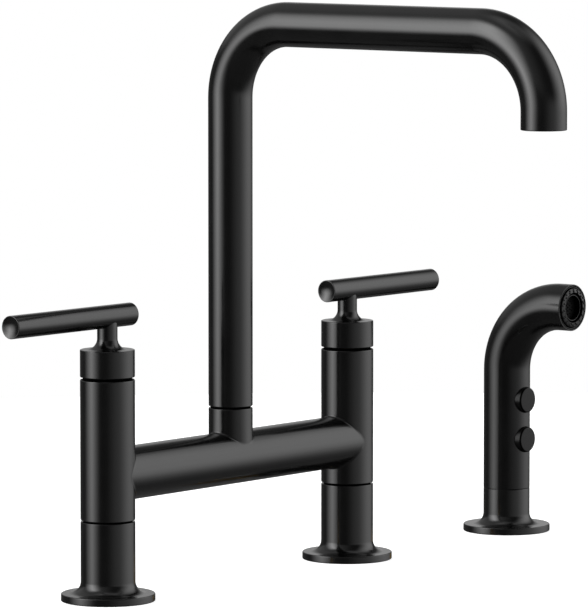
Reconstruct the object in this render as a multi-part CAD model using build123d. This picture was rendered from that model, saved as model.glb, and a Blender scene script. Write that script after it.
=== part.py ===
from build123d import *
import os

# A two-hole bridge faucet for a kitchen sink, with a separate side spray.
# Millimetres. The origin lies on the deck, midway between the two posts. +X runs along the bridge
# towards the side spray, the spout reaches out along -Y, and +Z is up.

# ---- Driving dimensions: where the pieces stand ----
post_spacing = 203.2  # between the axes of the two posts
spray_spacing = 148.6  # from the right post to the side spray
deck_thickness = 30.0  # the deck that the fasteners are drawn up against

# ---- Driving dimensions: posts and their flanges ----
post_diameter = 29.0
flange_diameter = 50.0
flange_height = 4.0
flange_cove = 6.3  # radius between a flange and its sleeve
sleeve_wall = 2.3
gasket_margin = 3.0  # from a gasket's recess out to the rim of its flange
gasket_height = 2.0
lower_seam_z = 42.6  # middle of the groove between a base and its valve body
body_rise = 51.9  # from the bridge's axis to the middle of the groove under a handle
static_seam_width = 0.8
static_seam_depth = 0.3
turning_seam_width = 1.4
turning_seam_depth = 0.6

# ---- Driving dimensions: supply shanks and fasteners ----
thread_diameter = 20.955  # G 1/2 pipe thread
shoulder_diameter = 21.2  # plain stretch above the thread
shank_bore = 15.0
least_deck = 3.0  # the thread starts this far below the deck's surface
thread_reserve = 4.0  # thread left below a tightened nut
relief_width = 2.0
relief_depth = 1.0
supply_thread_length = 12.0
washer_height = 2.0
washer_diameter = 44.0
nut_height = 12.0
nut_across_flats = 32.0
spray_nut_across_flats = 34.0
nut_turning = 2.0  # the turned corners of a nut stand this far out from its flats

# ---- Driving dimensions: bridge ----
bridge_step = 0.2  # how far the bridge's sides lie inside the posts' sides
bridge_rise = 23.7  # from the groove above a base to the bridge's axis
bridge_waterway = 11.0
nipple_diameter = 15.0
nipple_in_bridge = 14.0

# ---- Driving dimensions: spout and its socket ----
spout_diameter = 24.0
spout_wall = 2.0
spout_axis_height = 302.1  # axis of the level run above the deck
spout_reach = 209.6  # from the riser's axis to the outlet's axis
spout_bend_radius = 40.4
outlet_drop = 9.4  # straight length between the last bend and the outlet
spout_seam_rise = 27.9  # from the bridge's axis to the seam under the spout
spout_seam_width = 1.0
spout_seam_depth = 0.4
socket_wall = 2.95
stem_wall = 3.5
stem_in_spout = 15.0
retaining_groove_width = 3.6
retaining_groove_depth = 1.2
retaining_tip_step = 0.5  # the screw's tip is this much smaller all round

# ---- Driving dimensions: aerator ----
aerator_height = 9.0
aerator_setback = 0.8
aerator_wall = 1.4
aerator_lip = 0.8  # how far the lip reaches inwards
aerator_lip_height = 1.0
coin_slot_width = 2.5
insert_height = 7.0
insert_wall = 1.0
insert_plate = 2.0
water_hole_radius = 0.5
water_hole_pitch = 2.0

# ---- Driving dimensions: diverter ----
diverter_diameter = 15.0
diverter_height = 15.6
diverter_depth = 9.2  # from the bridge's axis down to the floor of its pocket
diverter_wall = 3.2
diverter_rim = 1.9  # wall beside the poppet's plate
diverter_port_radius = 3.2
poppet_plate_height = 1.6
poppet_recess = 1.2  # from the plug's top down to the closed poppet
poppet_stem_radius = 1.5
poppet_tail = 2.0  # from the poppet's lower end to the floor of the plug
poppet_lift = 2.0
poppet_headroom = 0.5

# ---- Driving dimensions: valve cartridges ----
chamber_wall = 4.1
port_above_seat = 0.75
seat_seal_width = 2.2  # how wide the rubber ring under the fixed disc is
inlet_web = 4.0  # metal between the shank's end and the cartridge's seat
collar_wall = 2.6
collar_height = 4.0
skirt_waterway = 1.8  # water space round the cartridge's skirt
skirt_wall = 1.0
skirt_roof = 3.5  # from the water windows up to the sealed shoulder
window_width = 8.0
window_height = 7.5
seal_height = 3.0
disc_height = 3.0
disc_port_width = 2.8
disc_port_spread = 70  # degrees
driver_width = 4.5
driver_depth = 1.0
driver_neck = 2.0  # tongue between the disc and the stem's shaft
stem_shaft_diameter = 10.0
stem_collar_diameter = 13.6
stem_collar_height = 1.5
neck_wall = 2.4
spline_diameter = 8.0
spline_teeth = 20
spline_groove_radius = 0.35
spline_flat_depth = 0.6
bonnet_thread_height = 9.0
bonnet_hex_height = 7.0
bonnet_setback = 2.6  # from the valve body's rim down to the bonnet nut
neck_setback = 3.0  # from the bonnet nut's top down to the cartridge's neck
wrench_gap = 0.9  # between the bonnet nut's corners and the bore round them
ring_wire = 1.7  # thickness of the sealing rings

# ---- Driving dimensions: handles ----
cap_height = 14.5
cap_wall = 3.0
cap_cavity_depth = 5.0
neck_diameter = 10.8
neck_cove = 5.8
neck_height = 17.4  # from the cap's top to the lever's axis
lever_diameter = 12.2
lever_outer = 76.0  # from the post's axis to the far end
lever_inner = 18.5  # from the post's axis to the near end
dish_rim = 0.9
dish_depth = 0.8
spigot_diameter = 6.0
socket_roof = 2.4  # metal above the splined socket
set_screw_diameter = 4.0
set_screw_setback = 1.5
set_screw_drive = 2.0  # hexagon across flats
drive_depth = 1.5

# ---- Driving dimensions: side spray and its holder ----
wand_diameter = 26.7
wand_seam_z = 25.0
spray_sleeve_wall = 1.3
spray_shank_wall = 1.6
spray_shank_engagement = 9.0
liner_wall = 1.0
wand_wall = 4.35
wand_spigot_length = 15.0
grip_above_block = 6.95  # straight grip between the valve block and the bend
wand_bend_radius = 38.4
head_length = 8.0  # straight length between the bend and the spray face
hose_thread_diameter = 13.16  # G 1/4 pipe thread
hose_thread_length = 10.0
nipple_plug_height = 6.0
water_tube_diameter = 10.0
water_tube_wall = 1.4

# ---- Driving dimensions: push buttons ----
lower_button_z = 53.8
button_pitch = 22.9
button_diameter = 14.0
button_proud = 2.05  # how far a face stands out from the grip
button_depth = 5.5
button_travel = 2.0
plunger_diameter = 5.0
plunger_stop = 0.8  # from the wand's axis to the end of a plunger's bore
valve_block_margin = 3.0
valve_block_wall = 2.0
block_waterway_radius = 2.2
block_waterway_y = 4.5
spring_wire = 0.6
spring_turns = 3
spring_gap = 0.9  # between the plunger and the coil
spring_pocket_depth = 2.0

# ---- Driving dimensions: spray face ----
face_rim = 0.8
head_depth = 6.0
manifold_height = 2.0
face_setback = 0.4
trim_ring_width = 1.5
nozzle_setback = 1.0
nozzle_margin = 1.1
nozzle_radius = 0.6
nozzle_height = 0.5
outer_nozzles = 22
inner_nozzles = 16
spray_core_diameter = 12.85
spray_core_wall = 0.7
spray_plate_height = 1.2

# ---- Clearances and edges ----
screwed_gap = 0.05  # radial, between pieces that screw or slide together
running_gap = 0.05  # radial, between a turning piece and its bore
film_gap = 0.03  # between lapped or brazed faces
slip_gap = 0.1  # between a piece and the bore that it drops into
loose_gap = 0.2  # radial, between pieces that only lie inside one another
spigot_gap = 0.3  # radial, between the side spray and its holder
turning_gap = 0.3  # axial, between a handle and its valve body
swivel_gap = 0.1  # axial, between the spout and its bearing ring
parting_gap = 0.15  # between the side spray and its holder
travel_gap = 0.4  # left at the end of a piece's travel
poppet_gap = 0.4  # radial, round the poppet's plate
edge_round = 0.5
small_chamfer = 0.2
lead_chamfer = 1.0

# ---- Worked out from the sizes above: radii ----
post_radius = post_diameter / 2
flange_radius = flange_diameter / 2
gasket_recess_radius = flange_radius - gasket_margin
sleeve_radius = post_radius - sleeve_wall
thread_radius = thread_diameter / 2
bridge_radius = post_radius - bridge_step
nipple_radius = nipple_diameter / 2
spout_radius = spout_diameter / 2
spout_bore_radius = spout_radius - spout_wall
socket_radius = spout_radius - socket_wall
stem_radius = socket_radius - running_gap
chamber_radius = post_radius - chamber_wall
collar_bore_radius = post_radius - collar_wall
collar_radius = collar_bore_radius - screwed_gap
shoulder_radius = chamber_radius - slip_gap
skirt_radius = chamber_radius - skirt_waterway
skirt_bore_radius = skirt_radius - skirt_wall
inlet_radius = skirt_bore_radius - 2 * loose_gap - seat_seal_width
disc_port_inner = inlet_radius - disc_port_width
shaft_radius = stem_shaft_diameter / 2
shaft_bore_radius = shaft_radius + running_gap
cartridge_neck_radius = shaft_bore_radius + neck_wall
spline_radius = spline_diameter / 2
spline_flat = spline_radius - spline_flat_depth
cavity_radius = post_radius - cap_wall
lever_radius = lever_diameter / 2
screw_radius = set_screw_diameter / 2
ring_radius = ring_wire / 2
half_ring_groove = ring_radius + slip_gap
wand_radius = wand_diameter / 2
wand_bore_radius = wand_radius - wand_wall
holder_bore_radius = wand_radius - spray_sleeve_wall
spray_shank_radius = holder_bore_radius - screwed_gap
spray_bore_radius = spray_shank_radius - spray_shank_wall
liner_bore_radius = spray_shank_radius - liner_wall
water_tube_radius = water_tube_diameter / 2
water_bore_radius = water_tube_radius - water_tube_wall
button_radius = button_diameter / 2
plunger_radius = plunger_diameter / 2
spring_radius = spring_wire / 2
coil_radius = plunger_radius + spring_gap + spring_radius
face_radius = wand_radius - face_rim - screwed_gap
core_radius = spray_core_diameter / 2

# ---- Worked out from the sizes above: places ----
half_spacing = post_spacing / 2
spray_x = half_spacing + spray_spacing
bridge_axis_z = lower_seam_z + bridge_rise
upper_seam_z = bridge_axis_z + body_rise
spout_seam_z = bridge_axis_z + spout_seam_rise

base_top = lower_seam_z - static_seam_width / 2
body_top = upper_seam_z - turning_seam_width / 2
cap_bottom = upper_seam_z + turning_seam_width / 2
body_rim = cap_bottom - turning_gap
cap_top = cap_bottom + cap_height
lever_axis_z = cap_top + neck_height
stem_socket_bottom = cap_bottom + cap_cavity_depth
stem_socket_top = cap_top - socket_roof
set_screw_z = (stem_socket_bottom + stem_socket_top) / 2

seat_z = bridge_axis_z - nipple_radius - screwed_gap - port_above_seat
shank_top = seat_z - inlet_web
fixed_disc_z = seat_z + seal_height
moving_disc_z = fixed_disc_z + disc_height + film_gap
driver_z = moving_disc_z + disc_height - driver_depth
shaft_z = driver_z + driver_depth + driver_neck
skirt_top = shaft_z + window_height
shoulder_bottom = skirt_top + skirt_roof
bonnet_top = body_rim - bonnet_setback
bonnet_hex_z = bonnet_top - bonnet_hex_height
collar_top = bonnet_hex_z - bonnet_thread_height
collar_shelf_z = collar_top - collar_height
neck_top = bonnet_top - neck_setback

washer_top = -deck_thickness
nut_top = washer_top - washer_height
nut_bottom = nut_top - nut_height
relief_top = nut_bottom - thread_reserve
relief_bottom = relief_top - relief_width
shank_bottom = relief_bottom - supply_thread_length

outlet_z = spout_axis_height - spout_bend_radius - outlet_drop
socket_top = spout_seam_z - spout_seam_width / 2
spout_bottom = spout_seam_z + spout_seam_width / 2
pocket_floor = bridge_axis_z - diverter_depth
diverter_top = pocket_floor + diverter_height
poppet_seat_z = diverter_top - poppet_plate_height - poppet_recess
stem_bottom = diverter_top + poppet_lift + poppet_headroom
stem_land = (socket_top - stem_bottom - 4 * half_ring_groove - retaining_groove_width) / 4
low_ring_z = stem_bottom + stem_land + half_ring_groove
high_ring_z = low_ring_z + stem_land + 2 * half_ring_groove
retaining_screw_z = high_ring_z + half_ring_groove + stem_land + retaining_groove_width / 2

wand_bottom = wand_seam_z + parting_gap / 2
holder_top = wand_seam_z - parting_gap / 2
spigot_bottom = wand_bottom - wand_spigot_length
nipple_top = spigot_bottom + nipple_plug_height
upper_button_z = lower_button_z + button_pitch
valve_block_bottom = lower_button_z - button_radius - valve_block_margin
valve_block_top = upper_button_z + button_radius + valve_block_margin
wand_axis_height = valve_block_top + grip_above_block + wand_bend_radius
wand_reach = wand_bend_radius + head_length
button_face = wand_radius + button_proud
button_back = button_face - button_depth
block_flat = button_back - button_travel - travel_gap
spring_floor = block_flat - spring_pocket_depth
head_back = wand_reach - head_depth
manifold_face = head_back + manifold_height
trim_face = wand_reach - face_setback
nozzle_face = wand_reach - nozzle_setback


def rod(radius, bottom, top):
    """Upright cylinder between two heights."""
    return Pos(0, 0, bottom) * Cylinder(radius, top - bottom, align=(Align.CENTER, Align.CENTER, Align.MIN))


def pipe(outer, inner, bottom, top):
    """Upright tube between two heights."""
    return rod(outer, bottom, top) - rod(inner, bottom, top)


def block(width, depth, bottom, top, y=0.0):
    """Upright box centred on (0, y)."""
    return Pos(0, y, bottom) * Box(width, depth, top - bottom, align=(Align.CENTER, Align.CENTER, Align.MIN))


def hexagon(corner_radius, bottom, top):
    """Upright hexagonal prism."""
    return extrude(Pos(0, 0, bottom) * RegularPolygon(corner_radius, 6), top - bottom, dir=(0, 0, 1))


def corner_radius(across_flats):
    """Radius through the corners of a hexagon with the given size across flats."""
    return across_flats / 3**0.5


def turned(*corners):
    """Solid turned about Z from the (r, z) corners of its half section. A third number rounds a corner."""
    points = [(corner[0], 0, corner[1]) for corner in corners]
    radii = [corner[2] if len(corner) == 3 else 0 for corner in corners]
    return revolve(make_face(FilletPolyline(*points, radius=radii, close=True)), Axis.Z)


def sideways(shape, side=1):
    """The shape with its +Z laid along X, towards the given side."""
    return Rot(0, 90 * side, 0) * shape


def forwards(shape):
    """The shape with its +Z laid along -Y, the way the spout and the spray face."""
    return Rot(90, 0, 0) * shape


def backwards(shape):
    """The shape with its +Z laid along +Y."""
    return Rot(0, 0, 180) * forwards(shape)


def at_post(shape, side):
    """The shape moved from the Z axis to a post's axis. Side is -1 for left and 1 for right."""
    return Pos(side * half_spacing, 0, 0) * shape


def at_both_posts(shape):
    """The shape at each of the two posts."""
    return [at_post(shape, side) for side in (-1, 1)]


def at_spray(shape):
    """The shape moved from the Z axis to the side spray's axis."""
    return Pos(spray_x, 0, 0) * shape


def eased(shape, axis, place):
    """The shape with the rim that lies at a place on an axis rounded."""
    rim = shape.edges().filter_by_position(axis, place - small_chamfer, place + small_chamfer)
    return fillet(rim, edge_round / 2)


def sealing_ring(outer_radius, z):
    """Round-section ring whose outside has the given radius."""
    return Pos(0, 0, z) * Torus(outer_radius - ring_radius, ring_radius)


def pierced(area_radius, bottom, top):
    """Round holes through a plate: one in the middle and rings of six, twelve and so on round it."""
    holes = rod(water_hole_radius, bottom, top)
    for ring in range(1, int((area_radius - water_hole_radius) / water_hole_pitch) + 1):
        for place in PolarLocations(ring * water_hole_pitch, 6 * ring):
            holes += place * rod(water_hole_radius, bottom, top)
    return holes


# ---- Bases, gaskets and what holds them to the deck ----


def flanged_sleeve(radius, bore, top):
    """A turned sleeve on a round flange, with a recess below for its gasket."""
    return turned(
        (gasket_recess_radius, 0),
        (flange_radius, 0, edge_round),
        (flange_radius, flange_height, edge_round),
        (radius, flange_height, flange_cove),
        (radius, top, small_chamfer),
        (bore, top),
        (bore, gasket_height),
        (gasket_recess_radius, gasket_height),
    )


def deck_gasket(bore):
    """Flat rubber ring that fills the recess under a flange."""
    return pipe(gasket_recess_radius - loose_gap, bore, 0, gasket_height)


def supply_shank():
    """Threaded brass tube that goes through the deck: fixing thread, relief, then supply thread."""
    bore = shank_bore / 2
    shoulder = shoulder_diameter / 2
    relief = thread_radius - relief_depth
    return turned(
        (bore, shank_bottom),
        (thread_radius - lead_chamfer, shank_bottom),
        (thread_radius, shank_bottom + lead_chamfer),
        (thread_radius, relief_bottom),
        (relief, relief_bottom),
        (relief, relief_top),
        (thread_radius, relief_top),
        (thread_radius, -least_deck),
        (shoulder, -least_deck),
        (shoulder, shank_top),
        (bore, shank_top),
    )


def deck_washer(bore):
    """Washer against the underside of the deck."""
    return pipe(washer_diameter / 2, bore, nut_top, washer_top)


def deck_nut(bore, across_flats):
    """Hexagonal nut under the washer, its corners turned off at both ends."""
    corner = across_flats / 2 + nut_turning
    turned_off = turned(
        (0, nut_bottom),
        (corner - lead_chamfer, nut_bottom),
        (corner, nut_bottom + lead_chamfer),
        (corner, nut_top - lead_chamfer),
        (corner - lead_chamfer, nut_top),
        (0, nut_top),
    )
    blank = hexagon(corner_radius(across_flats), nut_bottom, nut_top)
    return (blank & turned_off) - rod(bore, nut_bottom, nut_top)


# ---- Valve bodies and the bridge between them ----


def valve_body(side):
    """Turned post body: the shank's socket below, a port towards the bridge, the cartridge's bore above."""
    shank_socket = shoulder_diameter / 2 + screwed_gap
    body = turned(
        (shank_socket, base_top),
        (post_radius - static_seam_depth, base_top),
        (post_radius - static_seam_depth, base_top + static_seam_width),
        (post_radius, base_top + static_seam_width, small_chamfer),
        (post_radius, body_top, edge_round),
        (post_radius - turning_seam_depth, body_top),
        (post_radius - turning_seam_depth, body_rim),
        (collar_bore_radius, body_rim),
        (collar_bore_radius, collar_shelf_z),
        (chamber_radius, collar_shelf_z),
        (chamber_radius, seat_z),
        (inlet_radius, seat_z),
        (inlet_radius, shank_top),
        (shank_socket, shank_top),
    )
    port = sideways(rod(nipple_radius + screwed_gap, 0, post_diameter), -side)
    return body - Pos(0, 0, bridge_axis_z) * port


def bridge_tube():
    """Level tube coped to both posts, with the spout's socket and the diverter's pocket in its middle."""
    body = sideways(rod(bridge_radius, -half_spacing, half_spacing))
    body = Pos(0, 0, bridge_axis_z) * body
    body += turned(
        (0, bridge_axis_z),
        (spout_radius, bridge_axis_z),
        (spout_radius, socket_top, small_chamfer),
        (0, socket_top),
    )
    body -= Pos(0, 0, bridge_axis_z) * sideways(rod(bridge_waterway / 2, -half_spacing, half_spacing))
    nipple_socket = rod(nipple_radius + screwed_gap, 0, post_radius + nipple_in_bridge)
    for side in (-1, 1):
        body -= at_post(rod(post_radius + film_gap, base_top, body_top), side)
        body -= at_post(Pos(0, 0, bridge_axis_z) * sideways(nipple_socket, -side), side)
    body -= rod(diverter_diameter / 2 + screwed_gap, pocket_floor, socket_top)
    body -= rod(socket_radius, diverter_top, socket_top)
    screw_hole = backwards(rod(screw_radius, 0, spout_diameter))
    return body - Pos(0, 0, retaining_screw_z) * screw_hole


def bridge_nipples():
    """The two short tubes that join the bridge to the valve bodies."""
    start = chamber_radius + loose_gap
    end = post_radius + nipple_in_bridge
    plain = pipe(nipple_radius, bridge_waterway / 2, start, end)
    return [at_post(Pos(0, 0, bridge_axis_z) * sideways(plain, -side), side) for side in (-1, 1)]


# ---- Cartridges ----


def port_sectors(bottom, top, turn):
    """The pair of opposite openings through a ceramic disc."""
    height = top - bottom
    from_axis = (Align.NONE, Align.NONE, Align.MIN)
    sector = Cylinder(inlet_radius, height, arc_size=disc_port_spread, align=from_axis)
    first = Pos(0, 0, bottom) * Rot(0, 0, turn - disc_port_spread / 2) * sector
    second = Rot(0, 0, 180) * first
    return first + second - rod(disc_port_inner, bottom, top)


def cartridge_ring_z():
    """Height of the sealing ring round a cartridge's shoulder."""
    return (shoulder_bottom + collar_shelf_z) / 2


def cartridge_housing():
    """Brass housing: a skirt round the discs with two windows, a sealed shoulder, a collar and a neck."""
    skirt_bottom = fixed_disc_z - small_chamfer
    groove_radius = shoulder_radius - ring_wire
    groove_bottom = cartridge_ring_z() - half_ring_groove
    groove_top = cartridge_ring_z() + half_ring_groove
    body = turned(
        (skirt_bore_radius, skirt_bottom),
        (skirt_radius, skirt_bottom),
        (skirt_radius, shoulder_bottom),
        (shoulder_radius, shoulder_bottom),
        (shoulder_radius, groove_bottom),
        (groove_radius, groove_bottom),
        (groove_radius, groove_top),
        (shoulder_radius, groove_top),
        (shoulder_radius, collar_shelf_z),
        (collar_radius, collar_shelf_z),
        (collar_radius, collar_top),
        (cartridge_neck_radius, collar_top),
        (cartridge_neck_radius, neck_top),
        (shaft_bore_radius, neck_top),
        (shaft_bore_radius, skirt_top),
        (skirt_bore_radius, skirt_top),
    )
    return body - block(window_width, 2 * chamber_radius, shaft_z, skirt_top - small_chamfer)


def cartridge_o_ring():
    """Ring in the groove of the housing's shoulder."""
    return sealing_ring(shoulder_radius, cartridge_ring_z())


def seat_seal():
    """Rubber ring between the valve body's seat and the fixed disc."""
    return pipe(skirt_bore_radius - loose_gap, inlet_radius + loose_gap, seat_z, fixed_disc_z)


def fixed_disc():
    """Lower ceramic disc, held still in the skirt, its openings to the front and back."""
    top = fixed_disc_z + disc_height
    return rod(skirt_bore_radius - screwed_gap, fixed_disc_z, top) - port_sectors(fixed_disc_z, top, 90)


def moving_disc():
    """Upper ceramic disc with a slot for the stem's driver, its openings to the sides when shut."""
    top = moving_disc_z + disc_height
    disc = rod(skirt_bore_radius - loose_gap, moving_disc_z, top) - port_sectors(moving_disc_z, top, 0)
    return disc - block(driver_width + 2 * screwed_gap, 2 * skirt_radius, driver_z - slip_gap, top)


def stem_ring_heights():
    """Heights of the two sealing rings on a stem, within the cartridge's neck."""
    third = (neck_top - collar_top) / 3
    return (collar_top + third, neck_top - third)


def cartridge_stem():
    """Stem with a driver tongue, a stop collar, two ring grooves and a splined end with a flat."""
    inside = skirt_bore_radius - loose_gap
    collar_z = skirt_top - slip_gap - stem_collar_height
    body = block(driver_width, 2 * skirt_radius, driver_z, shaft_z) & rod(inside, driver_z, shaft_z)
    body += rod(shaft_radius, shaft_z, neck_top + small_chamfer)
    body += rod(stem_collar_diameter / 2, collar_z, collar_z + stem_collar_height)
    body += rod(spline_radius, neck_top, stem_socket_top - edge_round)
    for z in stem_ring_heights():
        groove_radius = shaft_radius - ring_wire
        body -= pipe(post_radius, groove_radius, z - half_ring_groove, z + half_ring_groove)
    groove = Pos(spline_radius, 0, 0) * rod(spline_groove_radius, bonnet_top, stem_socket_top)
    for place in PolarLocations(0, spline_teeth, start_angle=180 / spline_teeth):
        body -= place * groove
    flat_y = spline_flat + spline_radius
    return body - block(spline_diameter, spline_diameter, stem_socket_bottom, stem_socket_top, y=flat_y)


def stem_o_rings():
    """The two sealing rings on a stem."""
    return [sealing_ring(shaft_radius, z) for z in stem_ring_heights()]


def bonnet_nut():
    """Nut screwed into the valve body over the cartridge's collar, with a hexagon above the thread."""
    thread = rod(collar_radius, collar_top, bonnet_hex_z)
    head = hexagon(collar_bore_radius - wrench_gap, bonnet_hex_z, bonnet_top)
    return thread + head - rod(cartridge_neck_radius + screwed_gap, collar_top, bonnet_top)


# ---- Handles ----


def handle_hub():
    """Cap over the post with a coved neck that carries the lever, a splined socket and a set screw hole."""
    neck = neck_diameter / 2
    stem_socket = spline_radius + screwed_gap
    body = turned(
        (cavity_radius, cap_bottom),
        (post_radius, cap_bottom, edge_round),
        (post_radius, cap_top, edge_round),
        (neck, cap_top, neck_cove),
        (neck, lever_axis_z),
        (0, lever_axis_z),
        (0, stem_socket_top),
        (stem_socket, stem_socket_top),
        (stem_socket, stem_socket_bottom),
        (cavity_radius, stem_socket_bottom),
    )
    body -= Pos(0, 0, lever_axis_z) * sideways(rod(lever_radius + film_gap, -post_radius, post_radius))
    body += rod(spigot_diameter / 2, cap_top, lever_axis_z - edge_round)
    screw_hole = backwards(rod(screw_radius, 0, post_diameter))
    return body - Pos(0, 0, set_screw_z) * screw_hole


def lever_bar(side):
    """Round bar across the neck, long side outwards, with a dish turned in each end."""
    bar = turned(
        (0, -lever_inner),
        (lever_radius, -lever_inner, edge_round),
        (lever_radius, lever_outer, edge_round),
        (0, lever_outer),
    )
    dish_radius = lever_radius - dish_rim
    ball = (dish_radius**2 + dish_depth**2) / (2 * dish_depth)
    bar -= Pos(0, 0, lever_outer + ball - dish_depth) * Sphere(ball)
    bar -= Pos(0, 0, -lever_inner - ball + dish_depth) * Sphere(ball)
    bar = Pos(0, 0, lever_axis_z) * sideways(bar, side)
    return bar - rod(spigot_diameter / 2 + screwed_gap, cap_top, lever_axis_z)


def set_screw():
    """Headless screw that grips the stem's flat, with a hexagon socket in its outer end."""
    end = post_radius - set_screw_setback
    screw = rod(screw_radius - screwed_gap, spline_flat + screwed_gap, end)
    screw -= hexagon(corner_radius(set_screw_drive), end - drive_depth, end)
    return Pos(0, 0, set_screw_z) * backwards(screw)


# ---- Spout ----


def spout_tube():
    """The bent spout: up, over towards the sink and down to the outlet, whose rim is eased."""
    path = FilletPolyline(
        (0, 0, spout_bottom),
        (0, 0, spout_axis_height),
        (0, -spout_reach, spout_axis_height),
        (0, -spout_reach, outlet_z),
        radius=spout_bend_radius,
    )
    tube = sweep(Pos(0, 0, spout_bottom) * Circle(spout_radius), path=path)
    tube = eased(tube, Axis.Z, outlet_z)
    return tube - sweep(Pos(0, 0, spout_bottom) * Circle(spout_bore_radius), path=path)


def spout_stem():
    """Swivel stem fixed in the spout's foot: two ring grooves and a groove for the retaining screw."""
    bore = stem_radius - stem_wall
    ring_groove = stem_radius - ring_wire
    screw_groove = stem_radius - retaining_groove_depth
    half_screw_groove = retaining_groove_width / 2
    head = spout_bore_radius - screwed_gap
    return turned(
        (bore, stem_bottom),
        (stem_radius, stem_bottom, small_chamfer),
        (stem_radius, low_ring_z - half_ring_groove),
        (ring_groove, low_ring_z - half_ring_groove),
        (ring_groove, low_ring_z + half_ring_groove),
        (stem_radius, low_ring_z + half_ring_groove),
        (stem_radius, high_ring_z - half_ring_groove),
        (ring_groove, high_ring_z - half_ring_groove),
        (ring_groove, high_ring_z + half_ring_groove),
        (stem_radius, high_ring_z + half_ring_groove),
        (stem_radius, retaining_screw_z - half_screw_groove),
        (screw_groove, retaining_screw_z - half_screw_groove),
        (screw_groove, retaining_screw_z + half_screw_groove),
        (stem_radius, retaining_screw_z + half_screw_groove),
        (stem_radius, spout_bottom),
        (head, spout_bottom),
        (head, spout_bottom + stem_in_spout),
        (bore, spout_bottom + stem_in_spout),
    )


def spout_o_rings():
    """The two sealing rings on the spout's stem."""
    return [sealing_ring(stem_radius, z) for z in (low_ring_z, high_ring_z)]


def spout_retaining_screw():
    """Headless screw in the back of the socket, its tip in the stem's groove."""
    body_radius = screw_radius - screwed_gap
    tip_radius = screw_radius - retaining_tip_step
    tip = stem_radius - retaining_groove_depth + turning_gap
    end = spout_radius - small_chamfer
    screw = turned(
        (0, tip),
        (tip_radius, tip),
        (tip_radius, socket_radius),
        (body_radius, socket_radius),
        (body_radius, end),
        (0, end),
    )
    screw -= hexagon(corner_radius(set_screw_drive), end - drive_depth, end)
    return Pos(0, 0, retaining_screw_z) * backwards(screw)


def spout_bearing_ring():
    """Slippery ring between the socket and the spout, which shows as the dark line of the seam."""
    outer = spout_radius - spout_seam_depth
    return pipe(outer, stem_radius + slip_gap, socket_top, spout_bottom - swivel_gap)


def aerator_housing():
    """Threaded ring in the outlet, with a lip below and a coin slot across it."""
    outer = spout_bore_radius - screwed_gap
    wall = outer - aerator_wall
    lip = wall - aerator_lip
    bottom = outlet_z + aerator_setback
    lip_top = bottom + aerator_lip_height
    ring = turned(
        (lip, bottom),
        (outer, bottom),
        (outer, bottom + aerator_height),
        (wall, bottom + aerator_height),
        (wall, lip_top),
        (lip, lip_top),
    )
    coin_slot = block(coin_slot_width, spout_diameter, bottom, bottom + aerator_lip_height / 2)
    return Pos(0, -spout_reach, 0) * (ring - coin_slot)


def aerator_insert():
    """Plastic flow straightener that lies on the lip: a pierced plate under a short wall."""
    outer = spout_bore_radius - screwed_gap - aerator_wall - loose_gap
    inner = outer - insert_wall
    bottom = outlet_z + aerator_setback + aerator_lip_height
    plate_top = bottom + insert_plate
    top = bottom + insert_height
    insert = turned(
        (0, bottom),
        (outer, bottom),
        (outer, top),
        (inner, top),
        (inner, plate_top),
        (0, plate_top),
    )
    return Pos(0, -spout_reach, 0) * (insert - pierced(inner, bottom, plate_top))


# ---- Diverter ----


def diverter_body():
    """Plug in the bridge's middle with a cross port and an upright bore that ends in the poppet's seat."""
    outer = diverter_diameter / 2
    bore = outer - diverter_wall
    recess = outer - diverter_rim
    plug = turned(
        (0, pocket_floor),
        (outer, pocket_floor),
        (outer, diverter_top),
        (recess, diverter_top),
        (recess, poppet_seat_z),
        (bore, poppet_seat_z),
        (bore, pocket_floor + diverter_wall),
        (0, pocket_floor + diverter_wall),
    )
    port = sideways(rod(diverter_port_radius, -outer, outer))
    return plug - Pos(0, 0, bridge_axis_z) * port


def diverter_poppet():
    """Mushroom valve that rests on the diverter's seat and lifts when water flows to the spout."""
    bottom = poppet_seat_z + film_gap
    plate_radius = diverter_diameter / 2 - diverter_rim - poppet_gap
    plate = rod(plate_radius, bottom, bottom + poppet_plate_height)
    return plate + rod(poppet_stem_radius, pocket_floor + diverter_wall + poppet_tail, bottom)


# ---- Side spray: holder ----


def spray_holder_base():
    """Flanged holder that the side spray stands in."""
    return flanged_sleeve(wand_radius, holder_bore_radius, holder_top)


def spray_holder_shank():
    """Threaded tube through the deck, wide enough for the hose."""
    narrow_top = -least_deck - lead_chamfer
    return turned(
        (spray_bore_radius, relief_top),
        (spray_shank_radius - lead_chamfer, relief_top),
        (spray_shank_radius, relief_top + lead_chamfer),
        (spray_shank_radius, spray_shank_engagement),
        (liner_bore_radius, spray_shank_engagement),
        (liner_bore_radius, narrow_top),
        (spray_bore_radius, narrow_top),
    )


def spray_holder_liner():
    """Plastic guide inside the holder, on top of the shank."""
    return pipe(spray_shank_radius, liner_bore_radius, spray_shank_engagement, holder_top - edge_round)


# ---- Side spray: wand ----


def head_placed(shape):
    """The shape with its +Z laid along the spray head's axis, measured from the wand's axis."""
    return Pos(0, 0, wand_axis_height) * forwards(shape)


def wand_sweep(section, start, reach):
    """A section swept up the grip and round its bend, as far as a reach from the wand's axis."""
    path = FilletPolyline(
        (0, 0, start),
        (0, 0, wand_axis_height),
        (0, -reach, wand_axis_height),
        radius=wand_bend_radius,
    )
    return sweep(Pos(0, 0, start) * section, path=path)


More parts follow.
